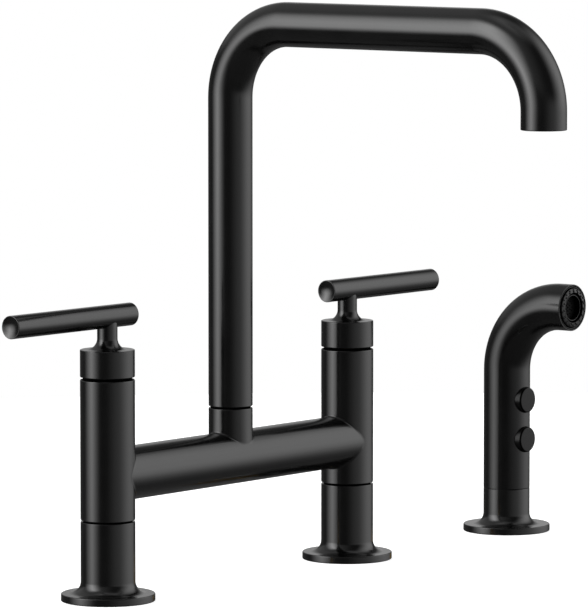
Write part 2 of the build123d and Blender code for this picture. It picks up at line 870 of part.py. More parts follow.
def wand_body():
    """Bent grip with a spigot for the holder, a bore for the water parts, button holes and an open face."""
    spigot_radius = liner_bore_radius - spigot_gap
    grip = eased(wand_sweep(Circle(wand_radius), wand_bottom, wand_reach), Axis.Y, -wand_reach)
    grip += turned(
        (0, spigot_bottom),
        (spigot_radius, spigot_bottom, lead_chamfer),
        (spigot_radius, wand_bottom),
        (0, wand_bottom),
    )
    grip -= wand_sweep(Circle(wand_bore_radius), wand_bottom, wand_reach)
    grip -= rod(wand_bore_radius, spigot_bottom, wand_bottom)
    grip -= head_placed(rod(wand_radius - face_rim, head_back, wand_reach))
    for z in (lower_button_z, upper_button_z):
        grip -= Pos(0, 0, z) * forwards(rod(button_radius + loose_gap, 0, wand_diameter))
    return grip


def hose_nipple():
    """Threaded end that the hose screws onto, with a plug that fills the spigot's bore."""
    thread = hose_thread_diameter / 2
    bottom = spigot_bottom - hose_thread_length
    plug = wand_bore_radius - screwed_gap
    return turned(
        (water_bore_radius, bottom),
        (thread, bottom, small_chamfer),
        (thread, spigot_bottom),
        (plug, spigot_bottom),
        (plug, nipple_top),
        (water_bore_radius, nipple_top),
    )


def wand_water_tubes():
    """Tube from the nipple to the valve block, and bent tube from the block to the spray head."""
    lower = pipe(water_tube_radius, water_bore_radius, nipple_top, valve_block_bottom)
    section = Circle(water_tube_radius) - Circle(water_bore_radius)
    return [lower, wand_sweep(section, valve_block_top, head_back)]


def wand_valve_block():
    """Block behind the buttons: a flat front, a pocket and a bore for each, and a waterway at the back."""
    wall = valve_block_wall
    body = rod(wand_bore_radius - screwed_gap, valve_block_bottom, valve_block_top)
    front_y = -block_flat - wand_bore_radius
    body -= block(wand_diameter, 2 * wand_bore_radius, valve_block_bottom, valve_block_top, y=front_y)
    waterway = rod(block_waterway_radius, valve_block_bottom + wall, valve_block_top - wall)
    body -= Pos(0, block_waterway_y, 0) * waterway
    body -= rod(water_bore_radius, valve_block_bottom, valve_block_bottom + wall)
    body -= rod(water_bore_radius, valve_block_top - wall, valve_block_top)
    pocket = rod(coil_radius + spring_radius + spring_gap, spring_floor, wand_radius)
    plunger_bore = rod(plunger_radius + running_gap, plunger_stop, wand_radius)
    for z in (lower_button_z, upper_button_z):
        body -= Pos(0, 0, z) * forwards(pocket + plunger_bore)
    return body


def button(z):
    """Push button with an eased rim, and the plunger behind it."""
    reach = plunger_stop + travel_gap + button_travel
    shape = turned(
        (0, reach),
        (plunger_radius, reach),
        (plunger_radius, button_back),
        (button_radius, button_back),
        (button_radius, button_face, edge_round),
        (0, button_face),
    )
    return Pos(0, 0, z) * forwards(shape)


def button_spring(z):
    """Return spring wound round the plunger, between the button and the valve block."""
    front = button_back - spring_radius - screwed_gap
    back = spring_floor + spring_radius + screwed_gap
    path = Helix((front - back) / spring_turns, front - back, coil_radius)
    section = Plane(origin=path @ 0, z_dir=path % 0) * Circle(spring_radius)
    spring = sweep(section, path=path, is_frenet=True)
    return Pos(0, 0, z) * forwards(Pos(0, 0, back) * spring)


# ---- Side spray: face ----


def spray_manifold():
    """Plate behind the spray face that shares the water out."""
    return head_placed(pipe(face_radius, water_bore_radius, head_back, manifold_face))


def spray_face_ring():
    """Trim ring just inside the wand's rim."""
    inner = face_radius - trim_ring_width
    ring = turned(
        (inner, manifold_face),
        (face_radius, manifold_face),
        (face_radius, trim_face, small_chamfer),
        (inner, trim_face, small_chamfer),
    )
    return head_placed(ring)


def spray_nozzle_plate():
    """Ring plate with two circles of small nozzles."""
    outer = face_radius - trim_ring_width - loose_gap
    inner = core_radius + loose_gap
    plate = pipe(outer, inner, manifold_face, nozzle_face)
    nozzle = rod(nozzle_radius, nozzle_face, nozzle_face + nozzle_height)
    for radius, count in ((outer - nozzle_margin, outer_nozzles), (inner + nozzle_margin, inner_nozzles)):
        for place in PolarLocations(radius, count):
            plate += place * nozzle
    return head_placed(plate)


def spray_aerator():
    """Raised ring in the middle of the spray face round a deep pierced plate."""
    inner = core_radius - spray_core_wall
    plate_face = manifold_face + spray_plate_height
    body = turned(
        (0, manifold_face),
        (core_radius, manifold_face),
        (core_radius, trim_face, small_chamfer),
        (inner, trim_face, small_chamfer),
        (inner, plate_face),
        (0, plate_face),
    )
    return head_placed(body - pierced(inner, manifold_face, plate_face))


# ---- All the pieces by name ----


def post_pieces(side, name):
    """The pieces that the two posts each have, with the post's name in front."""
    pieces = {
        "post_base": flanged_sleeve(post_radius, sleeve_radius, base_top),
        "deck_gasket": deck_gasket(sleeve_radius),
        "supply_shank": supply_shank(),
        "valve_body": valve_body(side),
        "cartridge_housing": cartridge_housing(),
        "fixed_disc": fixed_disc(),
        "bonnet_nut": bonnet_nut(),
        "cartridge_stem": cartridge_stem(),
        "moving_disc": moving_disc(),
        "stem_o_rings": Compound(children=stem_o_rings()),
        "handle_hub": handle_hub(),
        "lever_bar": lever_bar(side),
        "set_screw": set_screw(),
    }
    return {f"{name}_{piece}": at_post(shape, side) for piece, shape in pieces.items()}


def shared_pieces():
    """Identical fasteners and seals of both posts as groups, and what lies between the posts."""
    bore = thread_radius + screwed_gap
    return {
        "post_washers": at_both_posts(deck_washer(bore)),
        "post_mounting_nuts": at_both_posts(deck_nut(bore, nut_across_flats)),
        "seat_seals": at_both_posts(seat_seal()),
        "cartridge_o_rings": at_both_posts(cartridge_o_ring()),
        "bridge_tube": bridge_tube(),
        "bridge_nipples": bridge_nipples(),
        "diverter_body": diverter_body(),
        "diverter_poppet": diverter_poppet(),
    }


def spout_pieces():
    """The spout and what turns with it, its bearing ring and its retaining screw."""
    return {
        "spout_tube": spout_tube(),
        "spout_stem": spout_stem(),
        "spout_o_rings": spout_o_rings(),
        "spout_bearing_ring": spout_bearing_ring(),
        "spout_retaining_screw": spout_retaining_screw(),
        "aerator_housing": aerator_housing(),
        "aerator_insert": aerator_insert(),
    }


def spray_pieces():
    """The side spray's holder and wand."""
    pieces = {
        "spray_holder_base": spray_holder_base(),
        "spray_deck_gasket": deck_gasket(holder_bore_radius),
        "spray_holder_shank": spray_holder_shank(),
        "spray_holder_liner": spray_holder_liner(),
        "spray_holder_washer": deck_washer(holder_bore_radius),
        "spray_holder_nut": deck_nut(holder_bore_radius, spray_nut_across_flats),
        "wand_body": wand_body(),
        "hose_nipple": hose_nipple(),
        "wand_water_tubes": Compound(children=wand_water_tubes()),
        "wand_valve_block": wand_valve_block(),
        "lower_button": button(lower_button_z),
        "upper_button": button(upper_button_z),
        "lower_button_spring": button_spring(lower_button_z),
        "upper_button_spring": button_spring(upper_button_z),
        "spray_manifold": spray_manifold(),
        "spray_face_ring": spray_face_ring(),
        "spray_nozzle_plate": spray_nozzle_plate(),
        "spray_aerator": spray_aerator(),
    }
    return {name: at_spray(shape) for name, shape in pieces.items()}


def main():
    """Writes each piece, in its place, to a file of its own."""
    os.makedirs("parts", exist_ok=True)
    pieces = post_pieces(-1, "left") | post_pieces(1, "right") | shared_pieces()
    pieces |= spout_pieces() | spray_pieces()
    for name, shape in pieces.items():
        solids = shape if isinstance(shape, list) else [shape]
        whole = Compound(children=[solid for part in solids for solid in part.solids()])
        export_step(whole, f"parts/{name}.step")


main()
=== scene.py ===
import logging
import math
from dataclasses import dataclass
from enum import Enum
from typing import Callable, Optional, Sequence, Union

import bpy
from mathutils import Matrix, Vector


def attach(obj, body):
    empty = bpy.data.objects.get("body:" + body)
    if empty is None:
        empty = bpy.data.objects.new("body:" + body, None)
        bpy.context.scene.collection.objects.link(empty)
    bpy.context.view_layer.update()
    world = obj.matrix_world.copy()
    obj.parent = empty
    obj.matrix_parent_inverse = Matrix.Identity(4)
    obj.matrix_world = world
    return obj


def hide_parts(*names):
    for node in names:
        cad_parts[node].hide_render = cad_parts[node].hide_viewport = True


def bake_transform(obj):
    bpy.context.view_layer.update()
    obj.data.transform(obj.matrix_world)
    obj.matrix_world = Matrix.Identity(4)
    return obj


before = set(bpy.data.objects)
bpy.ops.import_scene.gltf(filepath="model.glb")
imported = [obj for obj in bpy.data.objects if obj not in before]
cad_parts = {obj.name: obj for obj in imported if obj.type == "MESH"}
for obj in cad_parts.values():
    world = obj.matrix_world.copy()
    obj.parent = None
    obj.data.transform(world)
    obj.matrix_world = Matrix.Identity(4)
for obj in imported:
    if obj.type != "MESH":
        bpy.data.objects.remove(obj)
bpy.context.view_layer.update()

# A bridge kitchen faucet with a separate side spray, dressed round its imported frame.
# The sizes of the classes are millimetres. The tools of the workshop turn them to metres.

Piece = bpy.types.Object
Tree = bpy.types.NodeTree
Socket = bpy.types.NodeSocket

LOG = logging.getLogger("faucet")
MM = 0.001
SAME_PLACE = 0.002  # millimetres within which two points count as one
ROUND = 96  # faces round a piece, unless it says otherwise
SMALL_ROUND = 48  # faces round a screw's hole
ROUNDING_FACES = ((0.4, 3), (2.0, 5), (math.inf, 14))  # faces of a rounding under so many millimetres
EDGE_FACES = 4  # faces of a rounding, unless it says otherwise
UP = Vector((0, 0, 1))
FORWARDS = Vector((0, -1, 0))
BACKWARDS = Vector((0, 1, 0))
TO_THE_RIGHT = Vector((1, 0, 0))
HALF_TURN = Matrix.Rotation(math.pi, 4, "Z")


class Side(Enum):
    """One of the two posts, with the sign of its place along X."""

    LEFT = -1
    RIGHT = 1

    def node(self, name: str) -> str:
        """The name of the frame's node for a piece of this post."""
        return f"{self.name.lower()}_{name}"


# ---------------------------------------------------------------- the workshop


def deselect_all() -> None:
    """Leaves object mode with nothing selected."""
    if bpy.context.object and bpy.context.object.mode != "OBJECT":
        bpy.ops.object.mode_set(mode="OBJECT")
    bpy.ops.object.select_all(action="DESELECT")


def pick(piece: Piece) -> None:
    """Makes a piece the only selected one, and active."""
    deselect_all()
    piece.select_set(True)
    bpy.context.view_layer.objects.active = piece


def apply_place(piece: Piece) -> None:
    """Puts a piece's place into its mesh, so that its object sits at the origin."""
    pick(piece)
    bpy.ops.object.transform_apply(location=True, rotation=True, scale=True)


def named(name: str) -> Piece:
    """Names the piece that was just made, and puts its place into its mesh."""
    piece = bpy.context.object
    piece.name = name
    piece.data.name = name
    apply_place(piece)
    return piece


def deselect_parts(piece: Piece, kind: str) -> None:
    """Deselects all of a piece's mesh, and makes edges or faces the kind that is selected next."""
    pick(piece)
    bpy.ops.object.mode_set(mode="EDIT")
    bpy.ops.mesh.select_mode(type=kind)
    bpy.ops.mesh.select_all(action="DESELECT")
    bpy.ops.object.mode_set(mode="OBJECT")


def select_edges(piece: Piece, wanted: Callable[[Vector, Vector], bool]) -> int:
    """Selects a piece's edges by the places of their ends, and goes to edit mode.

    Args:
        piece: the piece, whose other edges are deselected.
        wanted: says whether an edge with these two ends, in millimetres, is selected.

    Returns:
        How many edges are selected.
    """
    deselect_parts(piece, "EDGE")
    points = [vertex.co / MM for vertex in piece.data.vertices]
    count = 0
    for edge in piece.data.edges:
        if wanted(points[edge.vertices[0]], points[edge.vertices[1]]):
            edge.select = True
            count += 1
    bpy.ops.object.mode_set(mode="EDIT")
    return count


def apply_modifier(piece: Piece, kind: str, **settings: object) -> None:
    """Adds a modifier with its settings to a piece and applies it."""
    pick(piece)
    modifier = piece.modifiers.new("work", kind)
    for name, value in settings.items():
        setattr(modifier, name, value)
    bpy.ops.object.modifier_apply(modifier=modifier.name)


def cut_away(piece: Piece, cutter: Piece) -> None:
    """Cuts one closed shape out of another and throws the cutter away."""
    apply_modifier(piece, "BOOLEAN", object=cutter, operation="DIFFERENCE", solver="EXACT")
    bpy.data.objects.remove(cutter)


def join_solid(piece: Piece, other: Piece) -> None:
    """Makes one closed shape of two that overlap."""
    apply_modifier(piece, "BOOLEAN", object=other, operation="UNION", solver="EXACT")
    bpy.data.objects.remove(other)


def smooth(piece: Piece, sharp_above: float = 35) -> None:
    """Shades a piece smooth except across its sharp edges, with flat faces kept flat to the eye."""
    pick(piece)
    bpy.ops.object.shade_smooth_by_angle(angle=math.radians(sharp_above))
    apply_modifier(piece, "WEIGHTED_NORMAL", keep_sharp=True)


def copy_of(piece: Piece, name: str, move: Matrix) -> Piece:
    """A copy of a piece with a mesh of its own.

    Args:
        piece: the piece to copy.
        name: the copy's name.
        move: where the copy is moved and turned to, in metres.

    Returns:
        The copy, its place in its mesh.
    """
    pick(piece)
    bpy.ops.object.duplicate(linked=False)
    bpy.context.object.matrix_world = move
    return named(name)


def moved(offset: Vector) -> Matrix:
    """The move by an offset in millimetres."""
    return Matrix.Translation(offset * MM)


def gathered(pieces: Sequence[Piece]) -> Piece:
    """Puts several pieces into the mesh of the first."""
    deselect_all()
    for piece in pieces:
        piece.select_set(True)
    bpy.context.view_layer.objects.active = pieces[0]
    bpy.ops.object.join()
    return pieces[0]


def bevel(width: float, segments: int, slide: bool = True) -> None:
    """Bevels the selected edges by a width, whose ends may slide along the edges that they meet."""
    bpy.ops.mesh.bevel(
        offset_type="OFFSET",
        offset=width * MM,
        segments=segments,
        affect="EDGES",
        clamp_overlap=False,
        loop_slide=slide,
    )


def round_crease(piece: Piece, wanted: Callable[[Vector, Vector], bool], width: float) -> None:
    """Rounds the crease where two forms of a piece meet, as a weld or a casting has it.

    Args:
        piece: the piece.
        wanted: says whether an edge with these two ends, in millimetres, belongs to the crease.
        width: how far the rounding reaches on each side, in millimetres.
    """
    if not select_edges(piece, wanted):
        raise ValueError(f"{piece.name} has no such crease")
    bevel(width, EDGE_FACES, False)
    bpy.ops.object.mode_set(mode="OBJECT")


@dataclass
class Corner:
    """A ring of a piece that is rounded once the piece is closed."""

    centre: Vector
    heading: Vector
    radius: float
    rounding: float
    segments: int


class Ring:
    """A ring of vertices, drawn on, widened and bent into a round piece, as on a lathe or a bender."""

    def __init__(
        self, name: str, centre: Vector, heading: Vector, radius: float, steps: int = ROUND
    ) -> None:
        """Starts a piece with its first ring.

        Args:
            name: the piece's name.
            centre: the ring's middle, in millimetres.
            heading: the way in which the piece grows.
            radius: the ring's radius, in millimetres.
            steps: how many vertices go round it.
        """
        deselect_all()
        tilt = UP.rotation_difference(heading).to_euler()
        bpy.ops.mesh.primitive_circle_add(
            vertices=steps, radius=radius * MM, fill_type="NOTHING", location=centre * MM, rotation=tilt
        )
        self.piece = named(name)
        self.centre = centre.copy()
        self.heading = heading.copy()
        self.radius = radius
        self.corners: list[Corner] = []
        bpy.ops.object.mode_set(mode="EDIT")
        bpy.ops.mesh.select_mode(type="VERT")
        bpy.ops.mesh.select_all(action="SELECT")

    def round_here(self, rounding: float, segments: int) -> "Ring":
        """Asks for this ring to be rounded to a radius when the piece is closed."""
        if rounding:
            self.corners.append(
                Corner(self.centre.copy(), self.heading.copy(), self.radius, rounding, segments)
            )
        return self

    def to(
        self, radius: float, along: float = 0, rounding: float = 0, segments: int = EDGE_FACES
    ) -> "Ring":
        """Draws the ring on to a new radius and place.

        Args:
            radius: the new radius.
            along: how far it goes along the heading, which may be backwards.
            rounding: the radius to which this new corner is rounded.
            segments: how many faces the rounding has.

        Returns:
            The same ring, for the next step.
        """
        step = self.heading * along
        bpy.ops.mesh.extrude_region_move(TRANSFORM_OT_translate={"value": step * MM})
        self.centre += step
        if radius != self.radius:
            share = radius / self.radius
            bpy.ops.transform.resize(value=(share, share, share), center_override=self.centre * MM)
            self.radius = radius
        return self.round_here(rounding, segments)

    def by(self, along: float, rounding: float = 0, segments: int = EDGE_FACES) -> "Ring":
        """Draws the ring straight on at its own radius."""
        return self.to(self.radius, along, rounding, segments)

    def bend(self, centre: Vector, axis: Vector, degrees: float, steps: int = 32) -> "Ring":
        """Bends the piece about an axis, by the right-hand rule.

        Args:
            centre: a point on the axis, in millimetres.
            axis: the axis's direction.
            degrees: how far it is bent.
            steps: how many faces the bend has along it.

        Returns:
            The same ring, for the next step.
        """
        angle = math.radians(degrees)
        bpy.ops.mesh.spin(steps=steps, angle=-angle, center=centre * MM, axis=axis)
        turn = Matrix.Rotation(angle, 3, axis)
        self.centre = centre + turn @ (self.centre - centre)
        self.heading = turn @ self.heading
        return self

    def close(self) -> "Ring":
        """Draws the ring together to a pole."""
        bpy.ops.mesh.extrude_region_move(TRANSFORM_OT_translate={"value": (0, 0, 0)})
        bpy.ops.mesh.merge(type="CENTER")
        return self

    def finish(self, shade: bool = True) -> Piece:
        """Closes the seams, turns the faces outwards, rounds the corners and shades the piece.

        Args:
            shade: whether the piece is shaded now, as one that isn't cut further is.

        Returns:
            The finished piece.
        """
        bpy.ops.mesh.select_all(action="SELECT")
        bpy.ops.mesh.remove_doubles(threshold=SAME_PLACE * MM)
        bpy.ops.mesh.normals_make_consistent(inside=False)
        for corner in self.corners:
            round_ring(self.piece, corner)
        bpy.ops.object.mode_set(mode="OBJECT")
        if shade:
            smooth(self.piece)
        return self.piece


def on_ring(point: Vector, corner: Corner) -> bool:
    """Says whether a point lies on a corner's ring."""
    reach = point - corner.centre
    along = reach.dot(corner.heading)
    across = (reach - corner.heading * along).length
    return abs(along) < SAME_PLACE and abs(across - corner.radius) < SAME_PLACE


def select_ring(piece: Piece, corner: Corner) -> int:
    """Selects the edges of a corner's ring, goes to edit mode and says how many they are."""
    return select_edges(piece, lambda one, other: on_ring(one, corner) and on_ring(other, corner))


def round_ring(piece: Piece, corner: Corner) -> None:
    """Bevels a ring of edges to a rounded corner."""
    if not select_ring(piece, corner):
        raise ValueError(f"{piece.name} has no ring at {corner.centre} with radius {corner.radius}")
    bevel(corner.rounding, corner.segments)


def turned(
    name: str,
    axis_at: Vector,
    heading: Vector,
    corners: Sequence[tuple],
    steps: int = ROUND,
    shade: bool = True,
) -> Piece:
    """A closed piece turned about an axis.

    Args:
        name: the piece's name.
        axis_at: a point on the axis from which the corners' places are measured.
        heading: the axis's direction.
        corners: the half section's corners in order, each with its radius, its place along the axis
            and, where it is rounded, its rounding. They start and end on the axis with radius 0, or go
            all the way round.
        steps: how many faces go round the piece.
        shade: whether the piece is shaded now.

    Returns:
        The piece.
    """
    solid = corners[0][0] == 0
    outline = [(*corner, 0)[:3] for corner in (corners[1:-1] if solid else corners)]
    first_radius, first_place, rounding = outline[0]
    ring = Ring(name, axis_at + heading * first_place, heading, first_radius, steps)
    if solid:
        ring.close()
        select_ring(ring.piece, Corner(ring.centre, ring.heading, ring.radius, 0, 0))
    ring.round_here(rounding, rounding_faces(rounding))
    place = first_place
    for radius, next_place, rounding in outline[1:]:
        ring.to(radius, next_place - place, rounding, rounding_faces(rounding))
        place = next_place
    if solid:
        ring.close()
    else:
        ring.to(first_radius, first_place - place)
    return ring.finish(shade)


def rounding_faces(rounding: float) -> int:
    """How many faces round a corner: more for a wide cove than for an eased edge."""
    return next(faces for limit, faces in ROUNDING_FACES if rounding < limit)


def rod(
    name: str, start: Vector, heading: Vector, radius: float, length: float, steps: int = ROUND
) -> Piece:
    """A plain closed cylinder, used to cut with or to be shaped further."""
    deselect_all()
    tilt = UP.rotation_difference(heading).to_euler()
    bpy.ops.mesh.primitive_cylinder_add(
        vertices=steps,
        radius=radius * MM,
        depth=length * MM,
        location=(start + heading * length / 2) * MM,
        rotation=tilt,
    )
    return named(name)


def drill(
    piece: Piece, start: Vector, heading: Vector, radius: float, length: float, steps: int = ROUND
) -> None:
    """Cuts a round hole into a piece."""
    cut_away(piece, rod("drill", start, heading, radius, length, steps))


# ---------------------------------------------------------------- finishes


def linear(code: str) -> tuple[float, float, float, float]:
    """The linear colour of an sRGB hex code."""
    parts = [int(code[place : place + 2], 16) / 255 for place in (1, 3, 5)]
    red, green, blue = (
        part / 12.92 if part <= 0.04045 else ((part + 0.055) / 1.055) ** 2.4 for part in parts
    )
    return (red, green, blue, 1.0)


WHITE = linear("#ffffff")
NOISE_RANGE = (0.3, 0.7)  # where nearly all of a noise texture's values lie
COLOUR_STOPS = (0.35, 0.65)  # the noise's values at a finish's colour and at its variation
WAVE_PERIOD = math.tau / 20  # how far apart the wave texture's bands are at scale 1


def per_metre(size: float) -> float:
    """The scale of a pattern whose features are this many millimetres apart."""
    return 1 / (size * MM)


def add_node(
    tree: Tree, kind: str, sockets: Optional[dict] = None, **settings: object
) -> bpy.types.Node:
    """Adds a node to a tree.

    Args:
        tree: the material's or the world's node tree.
        kind: the node's type name.
        sockets: what goes into each input, by its name or number: a value, or an output to link.
        settings: the node's own properties.

    Returns:
        The node.
    """
    node = tree.nodes.new(kind)
    for name, value in settings.items():
        setattr(node, name, value)
    for name, value in (sockets or {}).items():
        if isinstance(value, Socket):
            tree.links.new(value, node.inputs[name])
        else:
            node.inputs[name].default_value = value
    return node


def calculate(tree: Tree, operation: str, *values: Union[float, Socket]) -> Socket:
    """The result of a math node with these values."""
    return add_node(tree, "ShaderNodeMath", dict(enumerate(values)), operation=operation).outputs[0]


@dataclass(frozen=True)
class Finish:
    """A surface whose colour and roughness vary a little, with a fine relief."""

    name: str
    slot: str
    colour: str
    variation: str
    roughness: float
    roughness_spread: float = 0.02
    grain: float = 0.5  # millimetres between the bumps of the relief
    relief: float = 0.002  # millimetres that they stand proud
    metallic: float = 0.0
    ior: float = 1.5
    cloud: float = 18.0  # millimetres between lighter and darker places
    specular: float = 0.5

    def height(self, tree: Tree, place: Socket) -> Socket:
        """The relief's height at a place, from 0 to 1."""
        noise = add_node(
            tree, "ShaderNodeTexNoise", {"Vector": place, "Scale": per_metre(self.grain), "Detail": 2.0}
        )
        return noise.outputs["Fac"]

    def material(self) -> bpy.types.Material:
        """Builds the finish's material once, and gives the same one after that."""
        found = bpy.data.materials.get(self.name)
        if found:
            return found
        material = bpy.data.materials.new(self.name)
        material.use_nodes = True
        tree = material.node_tree
        tree.nodes.clear()
        place = add_node(tree, "ShaderNodeTexCoord").outputs["Object"]
        cloud = add_node(
            tree, "ShaderNodeTexNoise", {"Vector": place, "Scale": per_metre(self.cloud), "Detail": 3.0}
        )
        shade = self.mixed(tree, cloud.outputs["Fac"])
        gloss = add_node(
            tree,
            "ShaderNodeMapRange",
            {
                "Value": cloud.outputs["Fac"],
                "From Min": NOISE_RANGE[0],
                "From Max": NOISE_RANGE[1],
                "To Min": self.roughness - self.roughness_spread,
                "To Max": self.roughness + self.roughness_spread,
            },
        )
        bump = add_node(
            tree,
            "ShaderNodeBump",
            {"Height": self.height(tree, place), "Strength": 1.0, "Distance": self.relief * MM},
        )
        surface = add_node(
            tree,
            "ShaderNodeBsdfPrincipled",
            {
                "Base Color": shade,
                "Roughness": gloss.outputs["Result"],
                "Metallic": self.metallic,
                "IOR": self.ior,
                "Specular IOR Level": self.specular,
                "Normal": bump.outputs["Normal"],
            },
        )
        add_node(tree, "ShaderNodeOutputMaterial", {"Surface": surface.outputs["BSDF"]})
        return material

    def mixed(self, tree: Tree, share: Socket) -> Socket:
        """The finish's colour and its variation, mixed by a share."""
        ramp = add_node(tree, "ShaderNodeValToRGB", {"Fac": share})
        stops = zip(ramp.color_ramp.elements, COLOUR_STOPS, (self.colour, self.variation))
        for element, position, code in stops:
            element.position = position
            element.color = linear(code)
        return ramp.outputs["Color"]


@dataclass(frozen=True)
class TurnedFinish(Finish):
    """A metal surface with the fine rings that a lathe leaves."""

    feed: float = 1.5708  # millimetres between the rings

    def height(self, tree: Tree, place: Socket) -> Socket:
        """The height of the tool's rings."""
        wave = add_node(
            tree,
            "ShaderNodeTexWave",
            {
                "Vector": place,
                "Scale": per_metre(self.feed) * WAVE_PERIOD,
                "Distortion": 0.6,
                "Detail": 1.0,
            },
            bands_direction="Z",
        )
        return wave.outputs["Fac"]


# Brass with a matte black electrophoretic coat: near black, satin, with a faint orange peel that breaks
# up the edges of the highlights.
BLACK_COAT = Finish(
    "matte_black_coat_on_brass", "black_metal", "#050505", "#080808", 0.18, grain=0.9, relief=0.0005
)
# The same coat on the side spray's shell, made to mirror less: painted shade for the weaker light that
# falls on the side spray.
WAND_COAT_PAINTED_SHADE = Finish(
    "matte_black_coat_on_side_spray",
    "black_metal",
    "#060606",
    "#090909",
    0.21,
    grain=0.9,
    relief=0.0006,
    ior=1.41,
)
# Moulded acetal of the spray face's rings, with a spark-eroded grain that takes most of the shine away.
BLACK_ACETAL = Finish(
    "moulded_black_acetal", "black_plastic", "#101010", "#141414", 0.34, ior=1.48, specular=0.3
)
# Moulded skin of the push buttons: dull, with little mirrored in it.
BUTTON_RUBBER = Finish(
    "moulded_button_rubber",
    "black_plastic",
    "#070707",
    "#0a0a0a",
    0.26,
    0.03,
    0.6,
    0.001,
    ior=1.45,
    specular=0.15,
)
# Painted shade for the walls and the seal deep in a seam between two pieces, and for other grooves,
# recesses and rims: dull black and nearly mirrorless, as if no light got there.
SEAM_PAINTED_SHADE = Finish(
    "dull_black_painted_seam_shade", "black_plastic", "#020202", "#030303", 0.9, ior=1.45, specular=0.02
)
# Silicone of the spray nozzles and their plate: soft to the eye, with a low shine.
BLACK_SILICONE = Finish(
    "moulded_black_silicone", "black_plastic", "#0c0c0c", "#111111", 0.28, 0.03, 0.6, 0.001, ior=1.41
)
# Moulded screen deep in the spray face: dull, grained and close to black.
BLACK_SCREEN = Finish(
    "moulded_black_screen", "black_plastic", "#0a0a0a", "#0d0d0d", 0.6, 0.03, ior=1.45, specular=0.1
)
# Synthetic rubber of gaskets and rings: dull, with a trace of bloom.
BLACK_RUBBER = Finish(
    "moulded_black_rubber", "black_rubber", "#1b1b1b", "#262524", 0.62, 0.04, 0.8, 0.006, ior=1.52
)
# Turned brass: warm yellow metal with the rings of a coarse cut.
TURNED_BRASS = TurnedFinish(
    "turned_brass", "brass", "#c9a45c", "#b8924c", 0.28, 0.04, relief=0.004, metallic=1.0
)
# Zinc-plated steel of the deck washers: cool grey, faintly cloudy.
ZINC_PLATE = Finish(
    "zinc_plated_steel", "steel", "#a9adb0", "#989da1", 0.38, 0.06, 1.2, 0.004, metallic=1.0, cloud=6.0
)
# Drawn stainless spring wire: bright, with lengthwise marks too fine to see.
SPRING_WIRE = Finish(
    "drawn_stainless_wire", "spring_steel", "#b9b7b2", "#a8a6a1", 0.24, 0.03, 0.3, metallic=1.0
)
# Lapped alumina ceramic of the valve discs: white, close and half matt.
ALUMINA = Finish("lapped_alumina", "ceramic", "#ece8df", "#e2ddd2", 0.30, 0.03, 0.25, 0.001, ior=1.76)
# Natural acetal of the flow straightener, milk white and waxy.
WHITE_ACETAL = Finish(
    "moulded_white_acetal", "white_plastic", "#e9e8e3", "#dfded8", 0.40, 0.03, 0.7, ior=1.48
)
# The finish of each of the record's slots.
SLOTS = {
    finish.slot: finish
    for finish in (
        BLACK_COAT,
        BLACK_ACETAL,
        BLACK_RUBBER,
        TURNED_BRASS,
        ZINC_PLATE,
        ALUMINA,
        WHITE_ACETAL,
        SPRING_WIRE,
    )
}


def show(piece: Piece, finish: Finish, node: str) -> None:
    """Gives a finished piece its finish, and puts it in the place of its node, which is hidden."""
    piece.data.materials.clear()
    piece.data.materials.append(finish.material())
    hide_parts(node)
    LOG.info("%s stands for %s with %d faces", piece.name, node, len(piece.data.polygons))


def fit(piece: Piece, body: str, finish: Finish, node: str) -> None:
    """Shows a finished piece and lets it ride on its body."""
    show(piece, finish, node)
    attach(piece, body)


def dress_places(piece: Piece, finish: Finish, wanted: Callable[[Vector], bool]) -> None:
    """Gives some faces of a dressed piece another finish.

    Args:
        piece: the dressed piece.
        finish: the finish of these faces.
        wanted: says whether a face whose middle is at this place, in millimetres, is one of them.
    """
    piece.data.materials.append(finish.material())
    deselect_parts(piece, "FACE")
    for face in piece.data.polygons:
        face.select = wanted(face.center / MM)
    bpy.ops.object.mode_set(mode="EDIT")
    piece.active_material_index = len(piece.data.materials) - 1
    bpy.ops.object.material_slot_assign()
    bpy.ops.object.mode_set(mode="OBJECT")


def dress_frame_nodes() -> None:
    """Gives each node of the frame the finish of its slot, for those that no piece replaces."""
    for name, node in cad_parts.items():
        for place, material in enumerate(node.data.materials):
            slot = material.name.split(".")[0]
            finish = SLOTS.get(slot)
            if finish is None:
                LOG.warning("%s has no finish for %s", name, slot)
            else:
                node.data.materials[place] = finish.material()


# ---------------------------------------------------------------- posts and bridge


